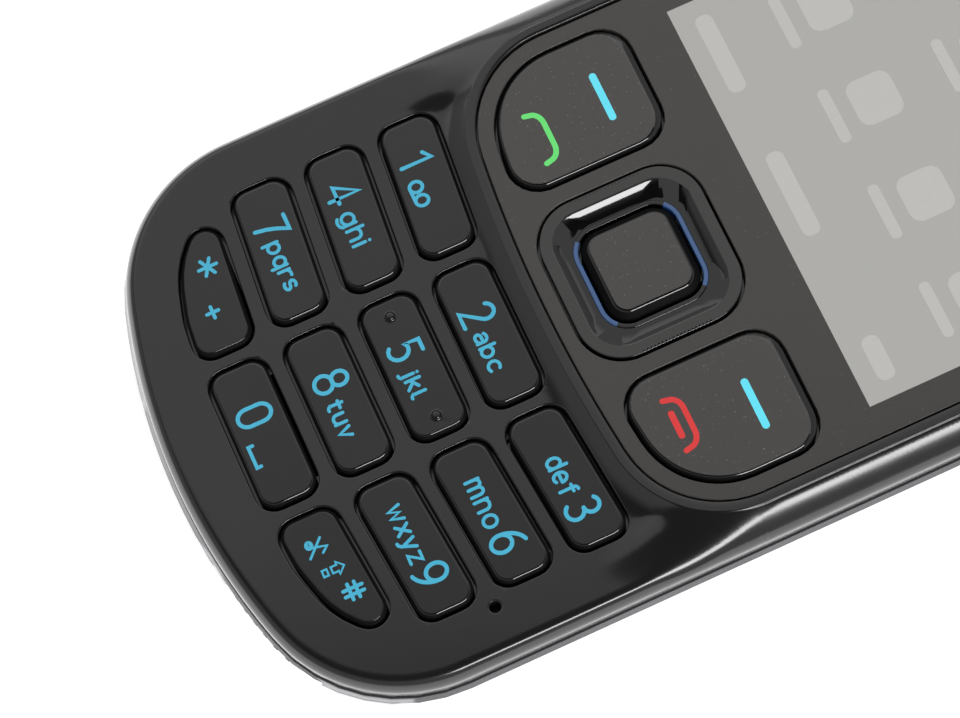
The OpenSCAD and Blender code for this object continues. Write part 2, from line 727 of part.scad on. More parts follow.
// Screen behind the window
panel_lift = 0.5;
gasket_t = 0.5;
gasket_edge = 0.15;
gasket_inset = 0.2;
frame_drop = 0.4;
panel_z0 = board_z1 + panel_lift;
panel_z1 = window_z0 - gasket_t;
module screen_square(side, end) {
    translate([-screen_half - side, screen_y0 - end])
        square([2 * screen_half + 2 * side, screen_y1 - screen_y0 + 2 * end]);
}
module panel_square(grow) {
    screen_square(panel_side + grow, panel_end + grow);
}
module display_panel() color([0.68, 0.68, 0.66]) slab(panel_z0, panel_z1) panel_square(0);
module display_frame() color(steel) difference() {
    slab(board_z1, panel_z1 - frame_drop) panel_square(frame_play + frame_wall);
    slab(panel_z0 - frame_play, panel_z1) panel_square(frame_play);
}
module display_gasket() color(rubber_grey) slab(panel_z1, window_z0) difference() {
    screen_square(panel_side, panel_end - gasket_inset);
    screen_square(gasket_edge, gasket_edge);
}

// Keypad below the keys
mat_side = 0.35;
mat_end = 0.55;
mat_margin = 1.6;
mat_half = screw_x - boss_r - mat_side;
mat_y1 = screen_y0 - panel_end - frame_wall - mat_end;
foil_margin = 0.2;
plunger_r = 1.2;
dome_r = 1.9;
call_pad_gap = 0.4;
call_pad_z1 = call_flange_z0 - call_pad_gap;
call_pad_r = 2;
call_pad_x = (call_inner + lip_half - call_margin) / 2;
call_pad_low = 4.5;
call_pad_high = 3.05;
nav_inset = 1.8;
nav_reach = nav_w / 2 - nav_inset;
module mat_shape(grow) {
    intersection() {
        polygon(body_outline(front_step + wall + mat_margin - grow));
        translate([-mat_half - grow, y_bottom]) square([2 * mat_half + 2 * grow, mat_y1 - y_bottom + grow]);
    }
}
module at_call_pads() {
    for (x = [-call_pad_x, call_pad_x], y = [window_y0 + call_pad_low, call_y1 - call_pad_high])
        translate([x, y]) children();
}
module at_switches() {
    for (i = [0 : len(NUMBERS) - 1]) translate(number_middle(i)) children();
    at_call_pads() children();
    for (p = [[0, 0], [nav_reach, 0], [-nav_reach, 0], [0, nav_reach], [0, -nav_reach]])
        translate(p + [0, nav_cy]) children();
}
module keypad_mat() color(rubber_grey) {
    slab(mat_z0, mat_z1) mat_shape(0);
    slab(mat_z0 - plunger_h, mat_z0 + eps) at_switches() circle(plunger_r);
    slab(mat_z1 - eps, call_pad_z1) at_call_pads() circle(call_pad_r);
}
module dome_sheet() color(steel) {
    slab(board_z1, board_z1 + foil_t) mat_shape(-foil_margin);
    translate([0, 0, board_z1 + foil_t - eps]) at_switches()
        cylinder(r1 = dome_r, r2 = dome_r / 2, h = dome_h);
}

// Side keys: a rocker for the volume in the right side and a push key in the top end
side_flange = 0.5;
side_flange_t = 0.6;
scallop = 0.9;
tilt_room = 0.3;
volume_up = 6;
volume_y = cover_y1 + volume_up;
volume_x = half_w - wall - side_in(side_z - volume_h / 2 - side_flange) - tilt_room;
power_x = 6.2;
power_h = 1.8;
power_inset = 0.25;
power_room = 0.7;
power_travel = 0.4;
power_end = y_top - power_inset;
power_flange_y = power_end - wall - power_room;
module volume_key() color(key_black) {
    side_pill(volume_x - eps, half_w, volume_y, side_z, volume_l, volume_h);
    side_pill(volume_x - side_flange_t, volume_x, volume_y, side_z,
        volume_l + 2 * side_flange, volume_h + 2 * side_flange);
}
module power_key() color(key_black) {
    end_pill(power_x, power_flange_y, power_end, side_z, power_l, power_h);
    end_pill(power_x, power_flange_y - side_flange_t, power_flange_y, side_z,
        power_l + 2 * side_flange, power_h + 2 * side_flange);
}

// Board, chassis and what is fixed to them
board_margin = 0.7;
board_play = 0.3;
chassis_play = 0.25;
chassis_inset = wall + tilt_room + side_flange_t + chassis_play;
chassis_hole = 0.15;
deck_side = 5.6;
deck_half = half_w - deck_side;
deck_low = 5;
deck_gap = 0.6;
contact_half = 4.5;
contact_play = 0.1;
contact_room = 1.2;
contact_drop = 0.3;
module main_board() color(board_green) slab(board_z0, board_z1) difference() {
    polygon(body_outline(front_step + wall + board_margin));
    at_screws() circle(boss_r + board_play);
    translate([jack_x - jack_half - board_play, jack_y0 - board_play])
        square([2 * jack_half + 2 * board_play, body_l]);
    translate([power_x - power_l / 2 - side_flange - board_play,
        power_flange_y - side_flange_t - power_travel - board_play])
        square([power_l + 2 * side_flange + 2 * board_play, body_l]);
}
module bay_square(grow) {
    translate([-bay_half - grow, bay_y0 - grow])
        square([2 * bay_half + 2 * grow, bay_y1 - bay_y0 + 2 * grow]);
}
module chassis() color(steel) difference() {
    union() {
        slab(chassis_z0, chassis_z1) polygon(body_outline(chassis_inset));
        slab(floor_z + contact_play, chassis_z0 + eps) difference() {
            bay_square(bay_wall);
            bay_square(0);
        }
    }
    box(around(0, deck_half), [bay_y1 + bay_wall + contact_room, y_top], [chassis_z0 - 1, chassis_z1 + 1]);
    box(around(0, deck_half), [y_bottom + deck_low, bay_y0 - bay_wall - deck_gap],
        [chassis_z0 - 1, chassis_z1 + 1]);
    box(around(0, contact_half), [bay_y1 - 1, bay_y1 + bay_wall + contact_play],
        [floor_z, chassis_z0 - contact_drop]);
    at_screws() slab(0, body_t) circle(screw_r + chassis_hole);
}
release_side = 10.6;
release_x = half_w - release_side;
antenna_seat = 0.05;
antenna_t = 1.7;
antenna_low = 4.6;
antenna_gap = 2;
antenna_slot = 3.5;
antenna_pitch = 5.5;
antenna_edge = 3;
antenna_cut = 0.6;
antenna_z = from(floor_z + antenna_seat, [0, antenna_t]);
shield_wall = 0.2;
shield_gap = 0.35;
shield_low = 6;
shield_end = 1;
shield_side = 8.9;
shield_mid = 0.5;
shield_far = half_w - shield_side;
shield_y = [y_bottom + shield_low, bay_y0 - bay_wall - shield_end];
shield_z0 = antenna_z[1] + shield_gap;
module shield(x) color(steel) difference() {
    box(x, shield_y, [shield_z0, board_z0]);
    box(x + [shield_wall, -shield_wall], shield_y + [shield_wall, -shield_wall],
        [shield_z0 + shield_wall, board_z0 + 1]);
}
module radio_shield() shield([-shield_far, -shield_mid]);
module baseband_shield() shield([shield_mid, shield_far]);
module antenna() color(gold) difference() {
    box([-shield_far, release_x - release_w / 2 - antenna_gap], [y_bottom + antenna_low, shield_y[1]],
        antenna_z);
    for (k = [0 : 2]) box(from(antenna_edge + antenna_pitch * k - shield_far, [0, antenna_slot]),
        shield_y + [1, -2.5], [antenna_z[1] - antenna_cut, antenna_z[1] + 1]);
}
sim_card_size = [25, 15, 0.76];
sim_gap = 2.9;
sim_y0 = bay_y1 + sim_gap;
sim_drop = 1.3;
sim_z0 = board_z0 - sim_drop;
sim_floor = 0.4;
sim_wall = 1;
sim_back = 0.8;
sim_play = 0.05;
sim_window = [8, 9];
module sim_holder() color(steel) difference() {
    box(around(0, sim_card_size[0] / 2 + sim_wall), from(sim_y0, [0, sim_card_size[1] + sim_back]),
        [sim_z0 - sim_floor, board_z0]);
    box(around(0, sim_card_size[0] / 2 + 2 * sim_play), from(sim_y0, [-1, sim_card_size[1] + 3 * sim_play]),
        [sim_z0 - sim_play, sim_z0 + sim_card_size[2] + sim_play]);
    box(around(0, sim_window[0]), from(sim_y0, [-1, sim_window[1]]), [sim_z0 - 1, sim_z0]);
}
module sim_card() color([0.9, 0.88, 0.8])
    box(around(0, sim_card_size[0] / 2), from(sim_y0 + sim_play, [0, sim_card_size[1]]),
        from(sim_z0, [0, sim_card_size[2]]));

// Battery and its contacts
battery_r = 1.6;
contact_pitch = 2.6;
contact_w = 0.8;
contact_z = [-0.2, 1];
contact_block = [0.15, 1.6];
contact_side = 0.2;
contact_root = 0.3;
module battery() color([0.25, 0.3, 0.4]) slab(battery_z0, battery_z1)
    translate([0, (battery_y0 + battery_y1) / 2])
        rounded(2 * battery_half, battery_y1 - battery_y0, battery_r);
module battery_contacts() color(gold) {
    box(around(0, contact_half - contact_side), from(bay_y1 + bay_wall, contact_block),
        [floor_z + contact_root, chassis_z0 - chassis_seat]);
    for (k = [-1 : 1]) box(around(k * contact_pitch, contact_w / 2),
        [battery_y1 + chassis_seat, bay_y1 + bay_wall + contact_root], from(socket_z, contact_z));
}

// Battery cover with two hooks at its top edge and a tab for the release
hook_x = 10;
hook_w = 5;
hook_reach = 1.2;
hook_root = [-2.2, -0.4];
hook_lap = 0.5;
hook_lift = 0.25;
hook_t = 0.6;
hook_play = 0.3;
hook_z = from(cover_z + hook_lift, [0, hook_t]);
tab_half = 0.9;
tab_up = 5.5;
tab_t = 0.8;
tab_h = 1.2;
tab_y = from(y_bottom + tab_up, [0, tab_t]);
module cover_shape(grow) {
    intersection() {
        polygon(body_outline(cover_margin - grow));
        translate([-half_w, y_bottom]) square([body_w, cover_y1 - y_bottom + grow]);
    }
}
module battery_cover() color(rear_grey) {
    intersection() {
        slab(cover_lift, cover_z1) cover_shape(0);
        rear_form(0);
    }
    for (x = [-hook_x, hook_x]) {
        box(around(x, hook_w / 2), from(cover_y1, hook_root), [cover_z1 - eps, hook_z[1]]);
        box(around(x, hook_w / 2), from(cover_y1, [-hook_lap, hook_reach]), hook_z);
    }
    box(around(release_x, tab_half), tab_y, [cover_z1 - eps, floor_z + tab_h]);
}

// Cover release in the bottom end
release_low = 0.3;
release_top = 0.3;
release_z = [cover_z + release_low, seam_z - release_top];
release_play = 0.12;
release_root = 0.2;
release_depth = 8;
release_flange = 0.7;
release_flange_t = 0.8;
release_seat = 0.15;
release_flange_z1 = chassis_z0 - 2 * release_top;
nose_gap = 0.25;
nose_t = 0.8;
nose_z0 = floor_z + release_top;
nose_y1 = tab_y[0] - release_travel - nose_gap;
ridge_count = 6;
ridge_pitch = 1.15;
ridge_w = 0.4;
ridge_h = 0.22;
ridge_inset = 0.1;
ridge_ends = [0.8, -0.5];
module release_column(grow) {
    box(around(release_x, release_w / 2 + grow), from(y_bottom, [-1, release_depth]),
        release_z + [-grow, grow]);
}
module between(outer, inner) {
    difference() {
        polygon(body_outline(outer));
        polygon(body_outline(inner));
    }
}
module cover_release() color(rear_grey) {
    intersection() {
        slab(release_z[0], release_z[1]) between(ridge_h + ridge_inset, wall + release_root);
        release_column(0);
        rear_form(ridge_h + ridge_inset);
    }
    intersection() {
        slab(floor_z + release_play, release_flange_z1)
            between(wall + release_seat, wall + release_seat + release_flange_t);
        rear_form(wall + release_seat);
        box(around(release_x, release_w / 2 + release_flange), from(y_bottom, [-1, release_depth]),
            [0, body_t]);
    }
    intersection() {
        slab(nose_z0, nose_z0 + nose_t) polygon(body_outline(wall + 2 * release_seat));
        rear_form(wall + release_seat);
        box(around(release_x, tab_half), [y_bottom, nose_y1], [0, body_t]);
    }
    intersection() {
        slab(release_z[0] + ridge_ends[0], release_z[1] + ridge_ends[1]) between(ridge_inset, wall);
        rear_form(ridge_inset);
        for (k = [0 : ridge_count - 1])
            box(around(release_x + (k - (ridge_count - 1) / 2) * ridge_pitch, ridge_w / 2),
                from(y_bottom, [-1, release_depth]), [0, body_t]);
    }
}

// Camera, flash and loudspeaker in the back
camera_gap = 5.2;
camera_y = sim_y0 + sim_card_size[1] + camera_gap;
camera_r = 3.9;
camera_half = 3.6;
camera_lift = 1.8;
camera_z0 = back_t + camera_lift;
barrel_inset = 0.7;
barrel_gap = 0.35;
flash_x = 8.4;
flash_r = 1.5;
flash_root = 0.4;
lens_t = 0.6;
lens_z0 = 0.12;
lens_play = 0.08;
speaker_x = -11;
speaker_y = (cover_y1 + hook_reach + jack_y0) / 2;
speaker_l = 13;
speaker_w = 8.6;
speaker_r = 1.5;
speaker_rim = 1;
speaker_mouth = 0.7;
speaker_seat = 0.03;
speaker_gap = 0.5;
mesh_l = 9;
mesh_w = 3;
mesh_t = 0.4;
mesh_play = 0.05;
mesh_hole = 0.3;
module at_camera() {
    translate([0, camera_y]) children();
}
module at_flash() {
    translate([flash_x, camera_y]) children();
}
module at_speaker() {
    translate([speaker_x, speaker_y]) children();
}
module camera_module() color(gloss_black) {
    box(around(0, camera_half), around(camera_y, camera_half), [camera_z0, board_z0]);
    slab(lens_z0 + lens_t + barrel_gap, camera_z0 + eps) at_camera() circle(camera_half - barrel_inset);
}
module camera_window() color(gloss_black)
    slab(lens_z0, lens_z0 + lens_t) at_camera() circle(camera_r - lens_play);
module flash_window() color([0.9, 0.9, 0.85])
    slab(lens_z0, back_t + flash_root) at_flash() circle(flash_r - lens_play);
module loudspeaker() color(gloss_black) difference() {
    slab(back_t + speaker_seat, sim_z0 - sim_floor - speaker_gap)
        at_speaker() rounded(speaker_l, speaker_w, speaker_r);
    slab(back_t, back_t + speaker_mouth)
        at_speaker() rounded(speaker_l - 2 * speaker_rim, speaker_w - 2 * speaker_rim, speaker_r);
}
module loudspeaker_grille() color(steel) slab(lens_z0, lens_z0 + mesh_t) at_speaker() difference() {
    pill(mesh_l - 2 * mesh_play, mesh_w - 2 * mesh_play);
    for (k = [-3 : 3], j = [-0.5, 0.5]) translate([k, j]) circle(mesh_hole, $fn = 16);
}

// Vibration motor with its off-centre weight
motor_side = 5.4;
motor_x = half_w - motor_side;
motor_up = 2.5;
motor_l = 8.5;
motor_y = from(cover_y1 + motor_up, [0, motor_l]);
motor_seat = 0.2;
motor_head = 0.7;
motor_r = (chassis_z0 - motor_head - back_t - motor_seat) / 2;
motor_z = back_t + motor_seat + motor_r;
weight_gap = 0.4;
weight_l = 3.6;
weight_cut = 0.25;
weight_play = 0.1;
shaft_r = 0.4;
shaft_play = 0.05;
shaft_root = 2.2;
shaft_end = 0.3;
module vibration_motor() color(steel) difference() {
    drill_y(motor_x, motor_y[0], motor_y[1], motor_z, motor_r);
    drill_y(motor_x, motor_y[1] - shaft_root - shaft_end, motor_y[1] + 1, motor_z, shaft_r + shaft_play);
}
module vibration_weight() color([0.6, 0.55, 0.5]) {
    weight_y = from(motor_y[1] + weight_gap, [0, weight_l]);
    drill_y(motor_x, motor_y[1] - shaft_root, weight_y[1], motor_z, shaft_r);
    difference() {
        drill_y(motor_x, weight_y[0], weight_y[1], motor_z, motor_r - weight_play);
        box(around(motor_x, 2 * motor_r), weight_y + [-1, 1], from(motor_z, [weight_cut, 2 * motor_r]));
    }
}

module case_screws() color(steel) at_screws() {
    translate([0, 0, screw_head_z]) difference() {
        cylinder(r = screw_head_r, h = screw_head_t);
        for (a = [0, 90]) rotate(a) box(around(0, slot_l / 2), around(0, slot_w / 2), [-1, slot_d]);
    }
    slab(screw_head_z + screw_head_t - eps, screw_z1) circle(screw_r);
}

// Rear half
hook_pocket = 1;
hook_swing = 3.2;
floor_end = 0.5;
module rear_form(d) {
    loft(concat([for (z = rear_zs) at_z(rear_outline(z, d), z)],
        [at_z(body_outline(seam_chamfer + d), seam_z)]));
}
module rear_hollow(z0) {
    zs = concat([z0], [for (z = rear_zs) if (z > z0 + seam_chamfer) z], [body_t]);
    loft([for (z = zs) at_z(rear_outline(z, wall), z)]);
}
module hook_pockets(y, z0) {
    for (x = [-hook_x, hook_x]) box(around(x, hook_w / 2 + hook_play), from(cover_y1, y), [z0, floor_z + 1]);
}
module rear_shell() color(rear_grey) difference() {
    union() {
        difference() {
            rear_form(0);
            rear_hollow(floor_z);
            intersection() {
                rear_hollow(back_t);
                box(around(0, half_w), [cover_y1 + hook_reach + floor_end, y_top], [back_t, body_t]);
            }
        }
        at_screws() slab(floor_z - eps, chassis_z0 - post_seat) circle(post_r);
    }
    slab(-1, cover_z) cover_shape(cover_play);
    slab(0, floor_z + 1) bay_square(0);
    hook_pockets([-hook_swing, hook_reach + hook_pocket], hook_z[0] - hook_play / 2);
    hook_pockets([-hook_swing, 0], cover_z - eps);
    box(around(release_x, tab_half + hook_play), tab_y + [-hook_play, hook_play], [0, floor_z + 1]);
    release_column(release_play);
    at_screws() slab(cover_z - eps, screw_head_z + screw_head_t) circle(screw_head_r + screw_play);
    at_screws() slab(0, body_t) circle(screw_r + screw_play);
    side_pill(half_w - side_proud, half_w + 1, volume_y, side_z, volume_l + 2 * scallop, volume_h + scallop);
    side_pill(half_w - wall - 1, half_w + 1, volume_y, side_z,
        volume_l + 2 * side_play, volume_h + 2 * side_play);
    end_pill(power_x, power_end - side_proud, y_top + 1, side_z, power_l + 2 * scallop, power_h + scallop);
    end_pill(power_x, power_flange_y, y_top + 1, side_z, power_l + 2 * side_play, power_h + 2 * side_play);
    socket_holes();
    slab(-1, back_t + 1) at_camera() circle(camera_r);
    slab(-1, back_t + 1) at_flash() circle(flash_r);
    slab(-1, back_t + 1) at_speaker() pill(mesh_l, mesh_w);
}

for (i = [0 : len(KEYS) - 1]) number_key(i);
front_cover();
display_window();
call_key();
end_key();
nav_rocker();
nav_ring();
nav_halo();
select_key();
earpiece_grille();
rear_shell();
battery_cover();
cover_release();
volume_key();
power_key();
camera_window();
flash_window();
loudspeaker_grille();
audio_socket();
charger_socket();
data_socket();
case_screws();
chassis();
main_board();
radio_shield();
baseband_shield();
display_panel();
display_frame();
display_gasket();
keypad_mat();
dome_sheet();
earpiece();
loudspeaker();
vibration_motor();
vibration_weight();
microphone();
microphone_boot();
camera_module();
antenna();
battery();
battery_contacts();
sim_holder();
sim_card();
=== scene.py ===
"""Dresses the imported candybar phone: satin front cover, keys with printed legends, window, screen and rear half."""
import json
import logging
import math
from collections.abc import Callable, Iterable, Sequence
from dataclasses import dataclass, field
from enum import Enum

import bmesh
import bpy
import numpy as np
from bmesh.types import BMEdge, BMesh, BMFace, BMVert
from mathutils import Matrix, Vector
from mathutils.geometry import delaunay_2d_cdt


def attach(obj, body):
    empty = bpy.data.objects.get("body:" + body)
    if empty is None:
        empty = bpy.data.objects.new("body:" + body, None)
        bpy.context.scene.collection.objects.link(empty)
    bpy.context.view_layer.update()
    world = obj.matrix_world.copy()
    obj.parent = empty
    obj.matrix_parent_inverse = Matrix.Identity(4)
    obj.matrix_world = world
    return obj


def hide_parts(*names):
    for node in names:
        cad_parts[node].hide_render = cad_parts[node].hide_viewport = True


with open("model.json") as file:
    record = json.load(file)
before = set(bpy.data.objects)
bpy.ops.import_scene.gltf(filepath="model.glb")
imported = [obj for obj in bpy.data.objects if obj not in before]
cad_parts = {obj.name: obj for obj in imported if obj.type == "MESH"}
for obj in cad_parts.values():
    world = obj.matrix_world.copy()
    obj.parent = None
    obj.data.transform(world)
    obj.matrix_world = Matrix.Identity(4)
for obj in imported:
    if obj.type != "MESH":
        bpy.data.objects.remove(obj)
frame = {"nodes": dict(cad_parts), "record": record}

LOG = logging.getLogger("phone")
MM = 0.001
TINY = 1e-6
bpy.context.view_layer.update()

Point = tuple[float, float]


class Body(str, Enum):
    """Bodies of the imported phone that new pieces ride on."""

    CASE = "case"
    NAV_RING = "nav_ring"
    COVER = "battery_cover"
    RELEASE = "cover_release"
    VOLUME = "volume_key"
    POWER = "power_key"


# Finishes


def linear(code: str) -> tuple[float, float, float, float]:
    """Turns an sRGB hex colour to linear light.

    Args:
        code: Six hex digits after a hash.

    Returns:
        Red, green, blue and a full alpha.
    """
    parts = [int(code[i:i + 2], 16) / 255 for i in (1, 3, 5)]
    light = [c / 12.92 if c <= 0.04045 else ((c + 0.055) / 1.055) ** 2.4 for c in parts]
    return light[0], light[1], light[2], 1.0


def add_node(tree: bpy.types.NodeTree, kind: str, settings: dict[str, object] | None = None,
             **links: object) -> bpy.types.Node:
    """Adds a node, sets it up and links it.

    Args:
        tree: Node tree that takes the node.
        kind: Blender's name of the node type.
        settings: Values by attribute name or, failing that, by input name.
        **links: Sockets to link, or values to set, by input name with spaces as underscores.

    Returns:
        The new node.
    """
    node = tree.nodes.new(kind)
    for name, value in (settings or {}).items():
        if hasattr(node, name):
            setattr(node, name, value)
        else:
            node.inputs[name].default_value = value
    for name, value in links.items():
        socket = node.inputs[int(name[1:])] if name[0] == "i" and name[1:].isdigit() else node.inputs[
            name.replace("_", " ")]
        if isinstance(value, bpy.types.NodeSocket):
            tree.links.new(value, socket)
        else:
            socket.default_value = value
    return node


@dataclass(frozen=True)
class Finish:
    """A moulded, painted or metal surface with grain, mottle and uneven gloss."""

    name: str
    colour: str
    second: str
    roughness: float
    metallic: float = 0.0
    ior: float = 1.5
    coat: float = 0.0
    coat_roughness: float = 0.08
    spread: float = 0.05
    grain: float = 0.1
    grain_mm: float = 0.2
    mottle_mm: float = 6.0
    stretch: tuple[float, float, float] = (1.0, 1.0, 1.0)
    # Depth of the grain, and the band that most of a noise's values fall in
    DEPTH_MM = 0.02
    NOISE_LOW, NOISE_HIGH = 0.3, 0.7

    def build(self) -> bpy.types.Material:
        """Makes the material.

        Returns:
            A node material on Object coordinates.
        """
        material = bpy.data.materials.new(self.name)
        material.use_nodes = True
        tree = material.node_tree
        shader = tree.nodes["Principled BSDF"]
        for name, value in (("Metallic", self.metallic), ("IOR", self.ior), ("Coat Weight", self.coat),
                            ("Coat Roughness", self.coat_roughness)):
            shader.inputs[name].default_value = value
        place = add_node(tree, "ShaderNodeTexCoord").outputs["Object"]
        turned = add_node(tree, "ShaderNodeMapping", {"Scale": self.stretch}, Vector=place).outputs["Vector"]
        broad = add_node(tree, "ShaderNodeTexNoise", {"Scale": 1 / (self.mottle_mm * MM), "Detail": 3.0},
                         Vector=place).outputs["Fac"]
        fine = add_node(tree, "ShaderNodeTexNoise", {"Scale": 1 / (self.grain_mm * MM), "Detail": 2.0},
                        Vector=turned).outputs["Fac"]
        tint = add_node(tree, "ShaderNodeMix", {"data_type": "RGBA"}, Factor=broad,
                        i6=linear(self.colour), i7=linear(self.second)).outputs[2]
        gloss = add_node(tree, "ShaderNodeMapRange", {
            "From Min": self.NOISE_LOW, "From Max": self.NOISE_HIGH,
            "To Min": max(0.0, self.roughness - self.spread), "To Max": min(1.0, self.roughness + self.spread),
        }, Value=broad).outputs["Result"]
        bump = add_node(tree, "ShaderNodeBump", {"Strength": self.grain, "Distance": self.DEPTH_MM * MM},
                        Height=fine).outputs["Normal"]
        tree.links.new(tint, shader.inputs["Base Color"])
        tree.links.new(gloss, shader.inputs["Roughness"])
        tree.links.new(bump, shader.inputs["Normal"])
        return material


@dataclass(frozen=True)
class Fleck(Finish):
    """A coloured surface with fine pale flecks scattered in it."""

    fleck: str = "#8A8783"
    fleck_mm: float = 0.24
    share: float = 0.12
    # Distances in a cell at which a fleck ends and is full
    RIM, CORE = 0.4, 0.15

    def build(self) -> bpy.types.Material:
        """Makes the plain finish, then scatters pale flecks through its colour.

        Returns:
            A node material on Object coordinates.
        """
        material = super().build()
        tree = material.node_tree
        shader = tree.nodes["Principled BSDF"]
        under = shader.inputs["Base Color"].links[0].from_socket
        place = next(n for n in tree.nodes if n.bl_idname == "ShaderNodeTexCoord").outputs["Object"]
        cells = add_node(tree, "ShaderNodeTexVoronoi", {"Scale": 1 / (self.fleck_mm * MM)}, Vector=place)
        pick = add_node(tree, "ShaderNodeSeparateColor", None, Color=cells.outputs["Color"]).outputs["Red"]
        chosen = add_node(tree, "ShaderNodeMapRange", {"From Min": 1 - self.share, "From Max": 1.0},
                          Value=pick).outputs["Result"]
        near = add_node(tree, "ShaderNodeMapRange", {"From Min": self.RIM, "From Max": self.CORE},
                        Value=cells.outputs["Distance"]).outputs["Result"]
        mask = add_node(tree, "ShaderNodeMath", {"operation": "MULTIPLY"}, i0=chosen, i1=near).outputs[0]
        tint = add_node(tree, "ShaderNodeMix", {"data_type": "RGBA"}, Factor=mask,
                        i6=under, i7=linear(self.fleck)).outputs[2]
        tree.links.new(tint, shader.inputs["Base Color"])
        return material


class Finishes:
    """Every finish on the phone, built once and handed out by name."""

    # Painted polycarbonate: black, with a gloss that mirrors a lamp as a clear streak
    SATIN = Finish("painted_polycarbonate_satin", "#161515", "#1A1919", 0.17, spread=0.02, grain=0.03,
                   grain_mm=0.25)
    # Hard-coated acrylic, printed dark grey behind: semi-matte, with a rare fine fleck
    FASCIA = Fleck("hard_coated_acrylic_printed", "#353331", "#393735", 0.34, spread=0.03, grain=0.12,
                   fleck="#55524F", fleck_mm=0.2, share=0.05)
    # Moulded polycarbonate keys, spark-eroded texture: semi-matte dark grey
    KEY = Finish("moulded_polycarbonate_key", "#141212", "#171616", 0.3, grain=0.1)
    # The same plastic with pale flakes moulded in, as on the call and select keys
    CALL = Fleck("flaked_polycarbonate_key", "#3A3836", "#3E3C3A", 0.34, grain=0.12,
                 fleck="#6C6965", fleck_mm=0.17, share=0.12)
    # Polished ABS: deep black that mirrors the light sharply
    GLOSS = Finish("polished_abs_black", "#050505", "#070707", 0.07, spread=0.015, grain=0.02)
    # Painted shade: near-black paint with a low IOR on the keys' sides and steep chamfers, standing in for the shade
    # in the deep gaps round the keys
    GAP_SHADE = Finish("black_painted_gap_shade", "#040404", "#060606", 0.6, ior=1.2, grain=0.05)
    # Lacquered ABS: the satin rim of the navigation ring
    RIM = Finish("lacquered_abs_satin", "#2A2928", "#2E2D2C", 0.18, spread=0.02, grain=0.04)
    # Clear tinted polycarbonate light guide: a steel-blue line that glints
    HALO = Finish("tinted_polycarbonate_light_guide", "#17386A", "#2A5688", 0.1, coat=0.6, grain=0.02)
    # Metallic paint over ABS: grey with a soft metal sheen
    REAR = Finish("metallic_paint_grey", "#7A7A7C", "#848486", 0.24, metallic=0.75, coat=0.5,
                  coat_roughness=0.06, spread=0.04, grain=0.08, grain_mm=0.18, mottle_mm=9.0)
    STEEL = Finish("brushed_stainless_steel", "#A9A9AB", "#BDBDBF", 0.3, metallic=1.0, spread=0.08,
                   grain=0.25, stretch=(0.06, 1.0, 1.0))
    BOARD = Finish("solder_mask_on_glass_epoxy", "#0E3B22", "#145030", 0.42, grain=0.2, mottle_mm=2.0)
    RUBBER = Finish("moulded_silicone_rubber", "#3A3A3B", "#454546", 0.72, spread=0.08, grain=0.3)
    INNER = Finish("glass_filled_nylon", "#2C2C2D", "#353536", 0.55, grain=0.3)
    GOLD = Finish("gold_plated_spring_steel", "#C79A45", "#D8B066", 0.28, metallic=1.0, grain=0.1)
    WEIGHT = Finish("sintered_tungsten_alloy", "#77736B", "#8A857B", 0.5, metallic=1.0, grain=0.4)
    FOIL = Finish("printed_film_on_aluminium_cell", "#39404E", "#434B5A", 0.4, grain=0.1)
    CARD = Finish("calendered_pvc_card", "#D9D4C4", "#E2DED0", 0.4, grain=0.1)
    GLASS = Finish("tinted_cover_glass", "#07080B", "#0B0C10", 0.03, ior=1.52, coat=1.0, coat_roughness=0.02,
                   spread=0.01, grain=0.0)
    FLASH = Finish("fluted_clear_acrylic", "#CFCDC2", "#E4E2D8", 0.16, grain=0.6, grain_mm=0.35,
                   stretch=(0.05, 1.0, 1.0))
    # Liquid-crystal screen behind the window: pale grey, with paler shapes on it
    SCREEN = Finish("liquid_crystal_screen", "#A3A29F", "#A8A7A4", 0.3, spread=0.03, grain=0.05, mottle_mm=30.0)
    SCREEN_MARK = Finish("liquid_crystal_mark", "#B5B4B0", "#B6B5B1", 0.3, grain=0.05, mottle_mm=4.0)
    # Translucent ink moulded into the keys
    CYAN = Finish("translucent_ink_cyan", "#39A4C6", "#45B0CE", 0.45, grain=0.1, mottle_mm=1.5)
    SOFT_CYAN = Finish("translucent_ink_pale_cyan", "#58D6EC", "#66E0F2", 0.45, grain=0.1, mottle_mm=1.5)
    GREEN = Finish("translucent_ink_green", "#5CD66A", "#68DE74", 0.45, grain=0.1, mottle_mm=1.5)
    RED = Finish("translucent_ink_red", "#CE2A2A", "#D63434", 0.45, grain=0.1, mottle_mm=1.5)

    BY_SLOT = {
        "satin_black": SATIN, "fascia": FASCIA, "key_black": KEY, "gloss_black": GLOSS, "inner_plastic": INNER,
        "blue_light_guide": HALO, "steel": STEEL, "rear_grey": REAR, "dark_glass": GLASS, "flash_glass": FLASH,
        "board_green": BOARD, "screen_grey": SCREEN, "rubber_grey": RUBBER, "brass_weight": WEIGHT,
        "antenna_gold": GOLD, "battery_label": FOIL, "card_white": CARD,
    }

    def __init__(self) -> None:
        """Starts with nothing built."""
        self.made: dict[str, bpy.types.Material] = {}

    def get(self, finish: Finish) -> bpy.types.Material:
        """Returns the finish's material, made at its first use.

        Args:
            finish: The finish wanted.

        Returns:
            Its material.
        """
        if finish.name not in self.made:
            self.made[finish.name] = finish.build()
        return self.made[finish.name]


# Mesh tools


